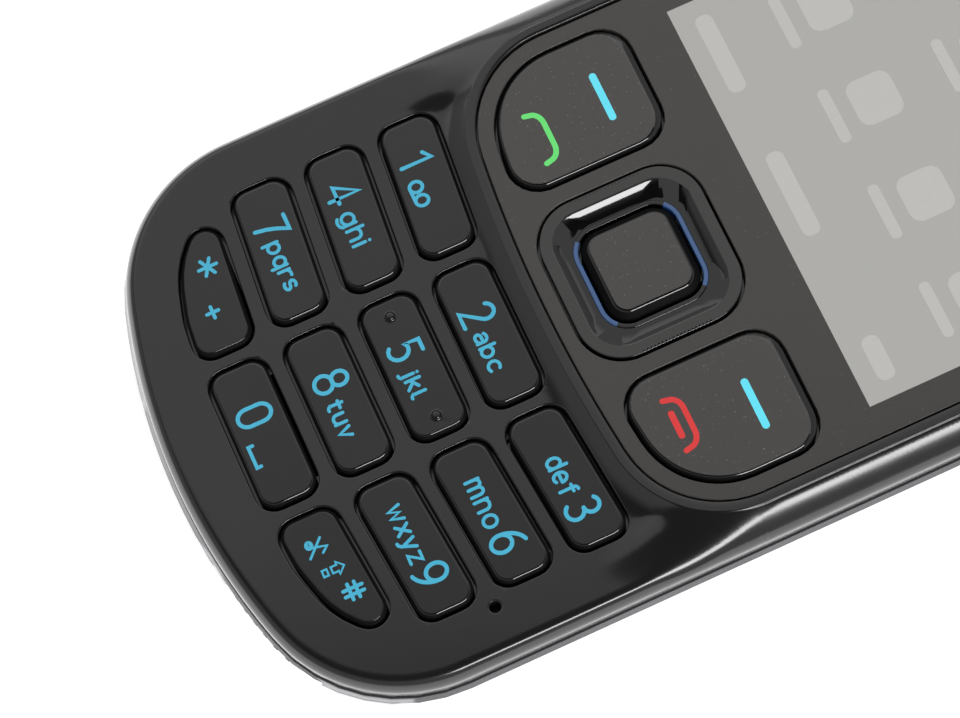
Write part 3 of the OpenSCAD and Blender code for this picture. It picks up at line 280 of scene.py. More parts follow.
def node_copy(node: str, flat: float = 0.5) -> BMesh:
    """Copies a CAD node's mesh, merged, with its flat triangles joined to whole faces.

    Args:
        node: Name of the CAD node.
        flat: Angle in degrees up to which neighbours count as one flat face.

    Returns:
        A bmesh in metres, in the phone's frame.
    """
    bm = bmesh.new()
    bm.from_mesh(frame["nodes"][node].data)
    bmesh.ops.remove_doubles(bm, verts=bm.verts, dist=0.002 * MM)
    bmesh.ops.dissolve_limit(bm, angle_limit=math.radians(flat), verts=bm.verts, edges=bm.edges)
    return bm


def corners(bm: BMesh, least: float, test: Callable[[BMEdge], bool] | None = None) -> list[BMEdge]:
    """Finds the edges where two faces meet at a corner.

    Args:
        bm: Mesh to search.
        least: Smallest angle between the faces, in degrees.
        test: Further test that an edge has to pass.

    Returns:
        The edges found.
    """
    bm.normal_update()
    return [e for e in bm.edges if len(e.link_faces) == 2 and e.calc_face_angle(0.0) > math.radians(least)
            and (test is None or test(e))]


def height(edge: BMEdge) -> float:
    """Returns the height of an edge's middle in millimetres."""
    return (edge.verts[0].co.z + edge.verts[1].co.z) / 2 / MM


def soften(bm: BMesh, edges: Sequence[BMEdge], width: float, segments: int = 3) -> None:
    """Rounds edges off.

    Args:
        bm: Mesh that holds them.
        edges: Edges to round.
        width: Width of the rounding in millimetres.
        segments: Steps across it.
    """
    if edges:
        bmesh.ops.bevel(bm, geom=list(edges), offset=width * MM, offset_type="OFFSET", segments=segments,
                        profile=0.5, affect="EDGES", clamp_overlap=True, material=-1)


def show(name: str, data: bpy.types.ID) -> bpy.types.Object:
    """Puts a new object with the data into the scene and returns it."""
    made = bpy.data.objects.new(name, data)
    bpy.context.scene.collection.objects.link(made)
    return made


class Workshop:
    """Turns bmeshes into finished pieces that ride on the phone's bodies."""

    # Slope of a key's level face, depth of its edge and slope from which its sides count as upright and take the
    # black painted shade of the gaps round the key
    LEVEL, EDGE, STEEP = 0.96, 0.12, 0.75

    def __init__(self) -> None:
        """Starts with an empty set of finishes."""
        self.finishes = Finishes()

    def piece(self, bm: BMesh, name: str, body: str, slot: str, finishes: Iterable[Finish],
              replaces: Sequence[str] = (), smooth: float = 35.0, weighted: bool = True) -> None:
        """Makes an object of a bmesh and hangs it on a body.

        Args:
            bm: Mesh of the piece, which is used up.
            name: Name of the piece.
            body: Body that carries it.
            slot: Material slot of the record; not used.
            finishes: Finishes, in the order of the mesh's material numbers.
            replaces: CAD nodes that the piece stands for.
            smooth: Angle in degrees below which edges are shaded smooth.
            weighted: Whether large faces set the normals at their edges.
        """
        mesh = bpy.data.meshes.new(name)
        for face in bm.faces:
            face.smooth = True
        bm.to_mesh(mesh)
        bm.free()
        mesh.set_sharp_from_angle(angle=math.radians(smooth))
        for finish in finishes:
            mesh.materials.append(self.finishes.get(finish))
        piece = show(name, mesh)
        if weighted:
            normals = piece.modifiers.new("even_normals", "WEIGHTED_NORMAL")
            normals.keep_sharp = True
        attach(piece, body)
        if replaces:
            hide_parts(*replaces)
        LOG.info("%s: %d faces on %s", name, len(mesh.polygons), body)

    def key(self, bm: BMesh, name: str, node: str, finish: Finish, top_z: float) -> None:
        """Makes a key with glossy edges, and sides painted near-black as painted shade of the gaps round it.

        Args:
            bm: Mesh of the key, which is used up.
            name: Name of the piece.
            node: CAD node that it stands for, and name of its body.
            finish: Finish of its face.
            top_z: Height of its face.
        """
        bm.normal_update()
        for face in bm.faces:
            slope = face.normal.z
            top = slope > self.LEVEL and face.calc_center_median().z / MM > top_z - self.EDGE
            # Top faces take the key's finish, edges gloss, and steep sides and chamfers the near-black painted shade
            # of the gaps
            face.material_index = 0 if top else 2 if slope < self.STEEP else 1
        self.piece(bm, name, node, "key_black", [finish, Finishes.GLOSS, Finishes.GAP_SHADE], replaces=[node])

    def dress_nodes(self) -> None:
        """Gives every CAD node the finish of its slot."""
        slots = {row["node"]: row["material_slot"] for row in frame["record"]["subparts"]}
        for node, obj in frame["nodes"].items():
            material = self.finishes.get(Finishes.BY_SLOT[slots[node]])
            obj.data.materials.clear()
            obj.data.materials.append(material)


# Printed marks


def bow(x: float, y: float, wide: float, tall: float, start: float, end: float, steps: int = 12) -> list[Point]:
    """Returns points along an arc of an ellipse.

    Args:
        x: Middle, across.
        y: Middle, up.
        wide: Half its width.
        tall: Half its height.
        start: First angle in degrees.
        end: Last angle in degrees.
        steps: Number of steps.

    Returns:
        The points.
    """
    turns = [math.radians(start + (end - start) * i / steps) for i in range(steps + 1)]
    return [(x + wide * math.cos(a), y + tall * math.sin(a)) for a in turns]


def ring(x: float, y: float, wide: float, tall: float) -> list[Point]:
    """Returns points round a whole ellipse, the last one on the first."""
    return bow(x, y, wide, tall, 90, 450, 28)


class Letters:
    """Strokes of the digits and letters, each on a base line at 0.

    A digit is 1 high. A small letter is 1 high without its ascender, and its strokes may rise to RISE or
    fall to DROP.
    """

    RISE = 1.36
    DROP = -0.36
    BOWL = ring(0.4, 0.5, 0.4, 0.5)
    ARCH = bow(0.36, 0.62, 0.36, 0.38, 180, 0)
    STEM: list[Point] = [(0.0, RISE), (0.0, 0.0)]
    POST: list[Point] = [(0.0, 1.0), (0.0, 0.0)]

    DIGITS: dict[str, list[list[Point]]] = {
        "0": [[*bow(0.27, 0.7, 0.27, 0.3, 0, 180), *bow(0.27, 0.3, 0.27, 0.3, 180, 360), (0.54, 0.7)]],
        "1": [[(0.24, 0.0), (0.24, 1.0), (0.0, 0.8)]],
        "2": [[*bow(0.27, 0.74, 0.26, 0.26, 160, -38), (0.02, 0.0), (0.55, 0.0)]],
        "3": [bow(0.22, 0.765, 0.26, 0.235, 140, -90), bow(0.22, 0.265, 0.3, 0.265, 90, -142)],
        "4": [[(0.43, 0.0), (0.43, 1.0), (0.0, 0.27), (0.6, 0.27)]],
        "5": [[(0.46, 1.0), (0.07, 1.0), (0.05, 0.56), *bow(0.2, 0.31, 0.3, 0.31, 112, -132)]],
        "6": [ring(0.29, 0.3, 0.29, 0.3), bow(0.62, 0.3, 0.62, 0.7, 180, 106)],
        "7": [[(0.0, 1.0), (0.55, 1.0), (0.38, 0.66), (0.27, 0.36), (0.2, 0.0)]],
        "8": [ring(0.29, 0.76, 0.235, 0.24), ring(0.29, 0.27, 0.29, 0.27)],
        "9": [ring(0.29, 0.7, 0.29, 0.3), bow(-0.04, 0.7, 0.62, 0.7, 0, -74)],
    }
    SMALL: dict[str, list[list[Point]]] = {
        "a": [[*bow(0.36, 0.66, 0.34, 0.34, 145, 0), (0.7, 0.0)],
              [(0.7, 0.55), *bow(0.3, 0.275, 0.3, 0.275, 90, 270), (0.45, 0.02), (0.7, 0.22)]],
        "b": [STEM, BOWL],
        "c": [bow(0.42, 0.5, 0.42, 0.5, 52, 308, 20)],
        "d": [[(0.8, RISE), (0.8, 0.0)], BOWL],
        "e": [[(0.06, 0.5), (0.8, 0.5)], bow(0.42, 0.5, 0.4, 0.5, 0, 308, 24)],
        "f": [[(0.26, 0.0), (0.26, 1.04), *bow(0.5, 1.08, 0.24, 0.28, 170, 80, 8)],
              [(0.0, 0.98), (0.56, 0.98)]],
        "g": [BOWL, [(0.8, 1.0), (0.8, -0.06), *bow(0.42, -0.06, 0.38, 0.3, 0, -140)]],
        "h": [STEM, [*ARCH, (0.72, 0.0)]],
        "i": [POST, [(0.0, 1.36), (0.0, 1.37)]],
        "j": [[(0.2, 1.0), (0.2, -0.14), *bow(-0.06, -0.14, 0.26, 0.22, 0, -85, 8)],
              [(0.2, 1.36), (0.2, 1.37)]],
        "k": [STEM, [(0.6, 1.0), (0.02, 0.46)], [(0.2, 0.63), (0.66, 0.0)]],
        "l": [[(0.0, RISE), (0.0, 0.22), *bow(0.22, 0.22, 0.22, 0.22, 180, 280, 8)]],
        "m": [POST, [*bow(0.28, 0.64, 0.28, 0.36, 180, 0), (0.56, 0.0)],
              [*bow(0.84, 0.64, 0.28, 0.36, 180, 0), (1.12, 0.0)]],
        "n": [POST, [*ARCH, (0.72, 0.0)]],
        "o": [ring(0.42, 0.5, 0.42, 0.5)],
        "p": [[(0.0, 1.0), (0.0, DROP)], BOWL],
        "q": [[(0.8, 1.0), (0.8, DROP)], BOWL],
        "r": [POST, bow(0.4, 0.58, 0.4, 0.42, 180, 72)],
        "s": [[*bow(0.34, 0.75, 0.3, 0.25, 42, 262), *bow(0.34, 0.25, 0.32, 0.25, 82, -142)]],
        "t": [[(0.2, 1.3), (0.2, 0.25), *bow(0.45, 0.25, 0.25, 0.25, 180, 285, 8)],
              [(0.0, 0.98), (0.58, 0.98)]],
        "u": [[(0.0, 1.0), *bow(0.36, 0.38, 0.36, 0.38, 180, 360)], [(0.72, 1.0), (0.72, 0.0)]],
        "v": [[(0.0, 1.0), (0.36, 0.0), (0.72, 1.0)]],
        "w": [[(0.0, 1.0), (0.27, 0.0), (0.54, 0.86), (0.81, 0.0), (1.08, 1.0)]],
        "x": [[(0.0, 1.0), (0.68, 0.0)], [(0.68, 1.0), (0.0, 0.0)]],
        "y": [[(0.0, 1.0), (0.37, 0.0)], [(0.74, 1.0), (0.32, -0.16), (0.2, -0.32), (0.04, DROP)]],
        "z": [[(0.0, 1.0), (0.64, 1.0), (0.0, 0.0), (0.64, 0.0)]],
    }


@dataclass(frozen=True)
class Place:
    """Box that a mark fills on a key, edge to edge, in millimetres."""

    x0: float
    x1: float
    y0: float
    y1: float


class Ink:
    """Draws flat marks, in millimetres, and lays them on a face."""

    # Thickness, share of it that lies in the face, rise of each mark over the last and least slope of a mitre
    THICK, SUNK = 0.03, 0.7
    STEP = 0.0012
    MITRE = 0.6

    def __init__(self) -> None:
        """Starts with a blank sheet."""
        self.bm = bmesh.new()
        self.count = 0

    def stroke(self, points: Sequence[Point], width: float) -> None:
        """Draws a line of even width, closed where its ends meet and with round ends otherwise.

        Args:
            points: Points along the line.
            width: Width of the line.
        """
        path = [Vector(p) for p in points]
        closed = len(path) > 3 and (path[0] - path[-1]).length < TINY
        if closed:
            path.pop()
        last = len(path) - 1
        z = self.STEP * self.count
        self.count += 1
        rows = []
        for i, spot in enumerate(path):
            ways = []
            if i or closed:
                ways.append((spot - path[i - 1]).normalized())
            if i < last or closed:
                ways.append((path[(i + 1) % len(path)] - spot).normalized())
            way = sum(ways, Vector((0, 0)))
            way = way.normalized() if way.length > TINY else ways[0]
            side = Vector((-way.y, way.x)) * width / 2 / max(self.MITRE, way.dot(ways[0]))
            rows.append([self.bm.verts.new((*(spot + side), z)), self.bm.verts.new((*(spot - side), z))])
        for i in range(len(path) if closed else last):
            a, b = rows[i], rows[(i + 1) % len(path)]
            self.bm.faces.new((a[0], a[1], b[1], b[0]))
        if not closed:
            self.cap(path[0], path[0] - path[1], rows[0], width, z)
            self.cap(path[last], path[last] - path[last - 1], rows[last][::-1], width, z)

    def cap(self, spot: Vector, way: Vector, ends: Sequence[BMVert], width: float,
            z: float) -> None:
        """Rounds off the end of a line.

        Args:
            spot: Where the line ends.
            way: Direction in which it points there.
            ends: The line's last two corners.
            width: Width of the line.
            z: Height of the sheet.
        """
        turn = math.atan2(way.y, way.x)
        arc = bow(spot.x, spot.y, width / 2, width / 2, math.degrees(turn) + 90, math.degrees(turn) - 90, 8)
        inner = [self.bm.verts.new((*p, z)) for p in arc[1:-1]]
        first, second = ends if (ends[0].co.xy - Vector(arc[0])).length < width / 2 else ends[::-1]
        self.bm.faces.new([first, *inner, second])

    def plate(self, place: Place, radius: float) -> None:
        """Draws a filled rectangle with round corners.

        Args:
            place: Box that it fills.
            radius: Radius of its corners.
        """
        middle = ((place.x0 + place.x1) / 2, (place.y0 + place.y1) / 2, self.STEP * self.count)
        self.count += 1
        made = bmesh.ops.create_grid(self.bm, x_segments=1, y_segments=1, size=0.5, matrix=Matrix.Translation(
            middle) @ Matrix.Diagonal((place.x1 - place.x0, place.y1 - place.y0, 1, 1)))
        bmesh.ops.bevel(self.bm, geom=made["verts"], offset=radius, segments=6, profile=0.5, affect="VERTICES",
                        clamp_overlap=True, material=-1)

    def strokes(self, lines: Sequence[Sequence[Point]], place: Place, width: float) -> None:
        """Draws lines so that they fill a box.

        Args:
            lines: Lines, in any unit.
            place: Box that they fill.
            width: Width of a line in millimetres.
        """
        across = [p[0] for line in lines for p in line]
        up = [p[1] for line in lines for p in line]
        left, low = min(across), min(up)
        wide = (place.x1 - place.x0 - width) / (max(across) - left)
        tall = (place.y1 - place.y0 - width) / (max(up) - low)
        for line in lines:
            self.stroke([(place.x0 + width / 2 + (x - left) * wide, place.y0 + width / 2 + (y - low) * tall)
                         for x, y in line], width)

    def word(self, letters: str, place: Place, width: float, gap: float = 0.42) -> None:
        """Sets small letters side by side so that they fill a box.

        Args:
            letters: What to set.
            place: Box that they fill.
            width: Width of a line in millimetres.
            gap: Space between two letters, as a share of a small letter's height.
        """
        lines: list[list[Point]] = []
        start = 0.0
        for letter in letters:
            glyph = Letters.SMALL[letter]
            left = min(p[0] for line in glyph for p in line)
            right = max(p[0] for line in glyph for p in line)
            lines += [[(x - left + start, y) for x, y in line] for line in glyph]
            start += right - left + gap
        self.strokes(lines, place, width)

    def lay(self, shop: Workshop, name: str, body: str, slot: str, finish: Finish, z: float) -> None:
        """Gives the marks a thickness and lays them on a level face.

        Args:
            shop: Workshop that makes the piece.
            name: Name of the piece.
            body: Body that carries it.
            slot: Material slot of the record.
            finish: Finish of the ink.
            z: Height of the face.
        """
        made = bmesh.ops.extrude_face_region(self.bm, geom=self.bm.faces[:], use_keep_orig=True)
        raised = [v for v in made["geom"] if isinstance(v, BMVert)]
        bmesh.ops.translate(self.bm, verts=raised, vec=(0, 0, self.THICK))
        bmesh.ops.recalc_face_normals(self.bm, faces=self.bm.faces)
        sunk = Matrix.Translation((0, 0, z - self.THICK * self.SUNK))
        bmesh.ops.transform(self.bm, verts=self.bm.verts, matrix=Matrix.Diagonal((MM, MM, MM, 1)) @ sunk)
        shop.piece(self.bm, name, body, slot, [finish], weighted=False)


# The phone


def ease(share: np.ndarray) -> np.ndarray:
    """Eases each share from 0 to 1 with level ends."""
    share = np.clip(share, 0, 1)
    return share * share * (3 - 2 * share)


class Loops:
    """Closed lines seen from above, in millimetres."""

    # Spots that are measured at once, and share of its offset that a row keeps from every loop
    CHUNK, CLEAR = 1000, 0.97

    def __init__(self, loops: Sequence[np.ndarray]) -> None:
        """Notes the loops and the start and way of each of their edges.

        Args:
            loops: Points of each loop in order.
        """
        self.loops = loops
        self.start = np.concatenate(loops)
        self.way = np.concatenate([np.roll(loop, -1, 0) - loop for loop in loops])

    def distance(self, spots: np.ndarray) -> np.ndarray:
        """Measures how far each spot is from the nearest loop.

        Args:
            spots: Spots seen from above.

        Returns:
            One distance for each spot.
        """
        found = []
        for part in np.array_split(spots, len(spots) // self.CHUNK + 1):
            to = part[:, None] - self.start
            along = np.clip((to * self.way).sum(2) / np.maximum((self.way ** 2).sum(1), 1e-12), 0, 1)
            found.append(np.linalg.norm(to - along[..., None] * self.way, axis=2).min(1))
        return np.concatenate(found)

    def hold(self, spots: np.ndarray) -> np.ndarray:
        """Tells which spots lie inside a loop.

        Args:
            spots: Spots seen from above.

        Returns:
            One truth value for each spot.
        """
        low, high = self.start[:, 1], self.start[:, 1] + self.way[:, 1]
        slope = self.way[:, 0] / np.where(low == high, 1.0, high - low)
        found = []
        for part in np.array_split(spots, len(spots) // self.CHUNK + 1):
            y = part[:, 1:]
            crossed = ((low > y) != (high > y)) & (part[:, :1] < self.start[:, 0] + (y - low) * slope)
            found.append(crossed.sum(1) % 2 == 1)
        return np.concatenate(found)

    def rows(self, offsets: Sequence[float]) -> np.ndarray:
        """Returns rows of points to the left of the loops.

        Args:
            offsets: Distance of each row from its loop.

        Returns:
            The points, without those that another stretch of a loop comes nearer to.
        """
        rows = []
        for loop in self.loops:
            way = np.roll(loop, -1, 0) - np.roll(loop, 1, 0)
            side = np.stack([-way[:, 1], way[:, 0]], 1) / np.linalg.norm(way, axis=1)[:, None]
            for offset in offsets:
                row = loop + side * offset
                rows.append(row[self.distance(row) > offset * self.CLEAR])
        return np.concatenate(rows)


@dataclass
class FrontCover:
    """Front half of the case: keypad face, slope, shoulder and lip round the window."""

    shop: Workshop
    keypad_z: float = 10.7
    lip_z: float = 11.7
    lip_w: float = 0.78
    slope_w: float = 2.2
    shoulder_w: float = 2.2
    shoulder_drop: float = 2.3
    crease: float = 0.3
    ramp_y: float = -22.675
    ramp_l: float = 8.0
    corner_w: float = 4.8
    corner_x: float = 17.2
    corner_l: float = 2.5
    crease_more: float = 0.7
    crease_y: float = -26.475
    crease_up: float = 4.0
    crease_down: float = 6.0
    rim: float = 0.12
    step: float = 0.4
    edge_rows: tuple[float, ...] = (
        0.02, 0.06, 0.12, 0.2, 0.3, 0.4, 0.5, 0.6, 0.7, 0.8, 0.9, 1.05, 1.25, 1.5, 1.8)
    lip_rows: tuple[float, ...] = (
        0.03, 0.1, 0.4, 0.7, 0.76, 0.8, 0.88, 1.0, 1.15, 1.35, 1.6, 1.9, 2.25, 2.65, 3.0)
    rim_rows: tuple[float, ...] = (0.02, 0.06, 0.12, 0.15, 0.22)
    mesh: float = 0.5
    hole_gap: float = 0.08
    border_gap: float = 0.015
    slack: float = 0.05

    def build(self) -> None:
        """Lays a smooth skin over the cover, with rounded rims, and dresses it."""
        bm = node_copy("front_cover", 0.05)
        bm.normal_update()
        bmesh.ops.delete(bm, geom=[f for f in bm.faces if self.outer(f)], context="FACES")
        self.drop_strays(bm)
        self.lay_skin(bm, [self.curve(bm, loop) for loop in self.borders(bm)])
        self.shop.piece(bm, "front_cover_shell", Body.CASE, "satin_black", [Finishes.SATIN],
                        replaces=["front_cover"], smooth=40, weighted=False)

    def outer(self, face: BMFace) -> bool:
        """Tells whether a face is part of the outer skin rather than of a wall or a ledge inside."""
        ledge = face.normal.z > 0.999 and face.calc_center_median().z / MM < self.keypad_z - self.slack
        low = min(v.co.z for v in face.verts) / MM
        return face.normal.z > 0.02 and low > self.lip_z - self.shoulder_drop - 0.01 and not ledge

    @staticmethod
    def drop_strays(bm: BMesh) -> None:
        """Deletes slivers of the old skin that no longer hang together with the cover.

        Args:
            bm: Mesh of the cover without its skin.
        """
        queue = [min(bm.faces, key=lambda f: f.calc_center_median().z)]
        found = set(queue)
        while queue:
            linked = {f for e in queue.pop().edges for f in e.link_faces} - found
            found |= linked
            queue += linked
        bmesh.ops.delete(bm, geom=[f for f in bm.faces if f not in found], context="FACES")

    @staticmethod
    def borders(bm: BMesh) -> list[list[BMVert]]:
        """Walks round the open borders.

        Args:
            bm: Mesh of the cover without its skin.

        Returns:
            Corners of each border, the longest first, with the skin's side on the left.
        """
        follow: dict[BMVert, list[BMVert]] = {}
        for e in bm.edges:
            if e.is_boundary:
                for vert in e.verts:
                    follow.setdefault(vert, []).append(e.other_vert(vert))
        loops = []
        while follow:
            loop = [next(iter(follow))]
            while True:
                ahead = [v for v in follow.pop(loop[-1]) if v in follow]
                if not ahead:
                    break
                loop.append(ahead[0])
            loops.append(loop)
        areas = [sum(a.co.xy.cross(b.co.xy) for a, b in zip(loop, loop[1:] + loop[:1]))
                 for loop in loops]
        order = sorted(range(len(loops)), key=lambda i: -abs(areas[i]))
        return [loops[i] if (areas[i] > 0) == (rank == 0) else loops[i][::-1]
                for rank, i in enumerate(order)]

    def curve(self, bm: BMesh, loop: list[BMVert]) -> list[BMVert]:
        """Cuts a border's edges to short ones that follow a smooth curve.

        Args:
            bm: Mesh of the cover without its skin.
            loop: Corners of the border.

        Returns:
            The corners with the new ones between them.
        """
        spots = [v.co.copy() for v in loop]
        count = len(loop)
        made = []
        for i, vert in enumerate(loop):
            start, end, last = spots[i], spots[(i + 1) % count], loop[(i + 1) % count]
            length = (end - start).length
            lead = (end - spots[i - 1]).normalized() * length
            trail = (spots[(i + 2) % count] - start).normalized() * length
            made.append(vert)
            cuts = int(length / MM / self.step)
            for k in range(1, cuts + 1):
                t = k / (cuts + 1)
                edge = bm.edges.get((made[-1], last))
                new = bmesh.utils.edge_split(edge, made[-1], 0.5)[1]
                new.co = ((2 * t ** 3 - 3 * t ** 2 + 1) * start + (t ** 3 - 2 * t ** 2 + t) * lead
                          + (3 * t ** 2 - 2 * t ** 3) * end + (t ** 3 - t ** 2) * trail)
                made.append(new)
        return made

    def lay_skin(self, bm: BMesh, borders: list[list[BMVert]]) -> None:
        """Fills the open border with small faces and sets each point on the true surface.

        Args:
            bm: Mesh of the cover without its skin.
            borders: The outer edge, the window's opening and the holes.
        """
        flat = [np.array([v.co.xy for v in loop]) / MM for loop in borders]
        edge, opening, holes = Loops(flat[:1]), Loops(flat[1:2]), Loops(flat[2:])
        broad = np.concatenate([edge.rows(self.edge_rows), opening.rows(self.lip_rows)])
        low, high = flat[0].min(0), flat[0].max(0)
        ticks = [np.arange(low[i], high[i], self.mesh) for i in (0, 1)]
        grid = np.stack(np.meshgrid(*ticks), 2).reshape(-1, 2)
        clear = (edge.distance(grid) > max(self.edge_rows)) & (opening.distance(grid) > max(self.lip_rows))
        broad = np.concatenate([broad, grid[clear]])
        broad = broad[holes.distance(broad) > max(self.rim_rows) + self.hole_gap]
        spots = np.concatenate([broad, holes.rows(self.rim_rows)])
        spots = spots[edge.hold(spots) & ~opening.hold(spots) & ~holes.hold(spots)]
        apart = np.minimum(edge.distance(spots), opening.distance(spots)) > self.border_gap
        spots = self.thin(spots[apart])
        rim = [v for loop in borders for v in loop]
        links = []
        for loop in borders:
            first = links[-1][0] + 1 if links else 0
            links += [(first + i, first + (i + 1) % len(loop)) for i in range(len(loop))]
        points, _, faces, old, _, _ = delaunay_2d_cdt(
            [Vector(p) for p in np.concatenate([*flat, spots])], links, [], 0, 1e-5, True)
        places = np.array(points)
        heights = self.surface(places, edge.distance(places), opening.distance(places), holes.distance(places))
        verts = []
        for place, z, ids in zip(places, heights, old):
            known = [i for i in ids if i < len(rim)]
            vert = rim[known[0]] if known else bm.verts.new((place[0] * MM, place[1] * MM, 0))
            vert.co.z = z * MM
            verts.append(vert)
        middles = np.array([places[corners].mean(0) for corners in faces])
        solid = edge.hold(middles) & ~opening.hold(middles) & ~holes.hold(middles)
        for corners in np.array(faces)[solid]:
            bm.faces.new([verts[i] for i in corners])
        bm.normal_update()

    @staticmethod
    def thin(spots: np.ndarray, least: float = 0.02) -> np.ndarray:
        """Drops spots that share a small square with an earlier one."""
        return spots[np.sort(np.unique(np.round(spots / least), axis=0, return_index=True)[1])]

    def surface(self, spots: np.ndarray, to_edge: np.ndarray, to_opening: np.ndarray,
                to_hole: np.ndarray) -> np.ndarray:
        """Works out the cover's height, the lower of the keypad's dip and the shoulder along the edge.

        Args:
            spots: Spots seen from above.
            to_edge: Their distances from the outer edge.
            to_opening: Their distances from the window's opening.
            to_hole: Their distances from the nearest hole.

        Returns:
            One height for each spot.
        """
        to_lip = to_opening - self.lip_w
        x, y = np.abs(spots[:, 0]), spots[:, 1]
        width = self.slope_w + self.corner_w * ease((x - self.corner_x) / self.corner_l)
        crease = self.crease + self.crease_more * ease((y - self.crease_y) / self.crease_up) * (
            1 - ease((y - self.ramp_y) / self.crease_down))
        climb = np.maximum(np.clip(1 - to_lip / width, 0, 1) ** 2, ease((y - self.ramp_y) / self.ramp_l))
        dip = self.keypad_z + (self.lip_z - self.keypad_z) * climb
        shoulder = self.lip_z - self.shoulder_drop * (1 - np.sqrt(to_edge / self.shoulder_w))
        near = np.maximum(0, crease - np.abs(dip - shoulder))
        face = np.minimum(dip, shoulder) - near ** 2 / (4 * crease)
        face = np.where(to_lip <= 0.001, self.lip_z, face)
        over = np.clip(self.rim - np.minimum(to_hole, to_opening), 0, self.rim)
        return face - self.rim + np.sqrt(self.rim ** 2 - over ** 2)


@dataclass
class Window:
    """Printed window with the screen behind it."""

    shop: Workshop
    top_z: float = 11.5
    screen_half: float = 17.2
    screen_low: float = -6.075
    screen_high: float = 39.525
    # Bars by middle and half width, then the first tile, the way to the next and half widths
    bars: tuple[Point, ...] = ((-12.4, 3.4), (0.0, 3.6), (14.1, 1.8))
    first: Point = (-12.6, 7.2)
    pitch: Point = (8.4, 9.4)
    tile_half: float = 1.9
    line_half: float = 2.3

    def build(self) -> None:
        """Cuts the screen out of the print, rounds the edges and lays faint shapes on the screen."""
        bm = node_copy("display_window")
        edges = corners(bm, 60, lambda e: height(e) > self.top_z - 0.05)
        soften(bm, edges, 0.08, 2)
        for middle, normal in (((self.screen_half, 0, 0), (1, 0, 0)), ((-self.screen_half, 0, 0), (1, 0, 0)),
                               ((0, self.screen_low, 0), (0, 1, 0)), ((0, self.screen_high, 0), (0, 1, 0))):
            bmesh.ops.bisect_plane(bm, geom=[*bm.verts, *bm.edges, *bm.faces], dist=TINY,
                                   plane_co=Vector(middle) * MM, plane_no=normal)
        for face in bm.faces:
            spot = face.calc_center_median() / MM
            if (face.normal.z > 0.9 and abs(spot.x) < self.screen_half
                    and self.screen_low < spot.y < self.screen_high):
                face.material_index = 1
        self.shop.piece(bm, "window_panel", Body.CASE, "fascia", [Finishes.FASCIA, Finishes.SCREEN],
                        replaces=["display_window"])
        self.shapes()

    def shapes(self) -> None:
        """Lays plain pale shapes on the screen: a row of bars and rows of tiles with bars below them."""
        ink = Ink()
        low = self.screen_low
        for x, half in self.bars:
            ink.plate(Place(x - half, x + half, low + 1.5, low + 2.9), 0.6)
        for row in range(4):
            y = low + self.first[1] + row * self.pitch[1]
            for column in range(4):
                x = self.first[0] + self.pitch[0] * column
                ink.plate(Place(x - self.tile_half, x + self.tile_half, y + 2.0, y + 5.6), 0.9)
                ink.plate(Place(x - self.line_half, x + self.line_half, y, y + 0.9), 0.4)
        ink.lay(self.shop, "screen_shapes", Body.CASE, "screen_grey", Finishes.SCREEN_MARK, self.top_z - 0.008)


@dataclass(frozen=True)
class Legend:
    """What is printed on one number key: a digit, a word and further strokes, each in its place."""

    node: str
    digit: str = ""
    at: Place | None = None
    word: str = ""
    beside: Place | None = None


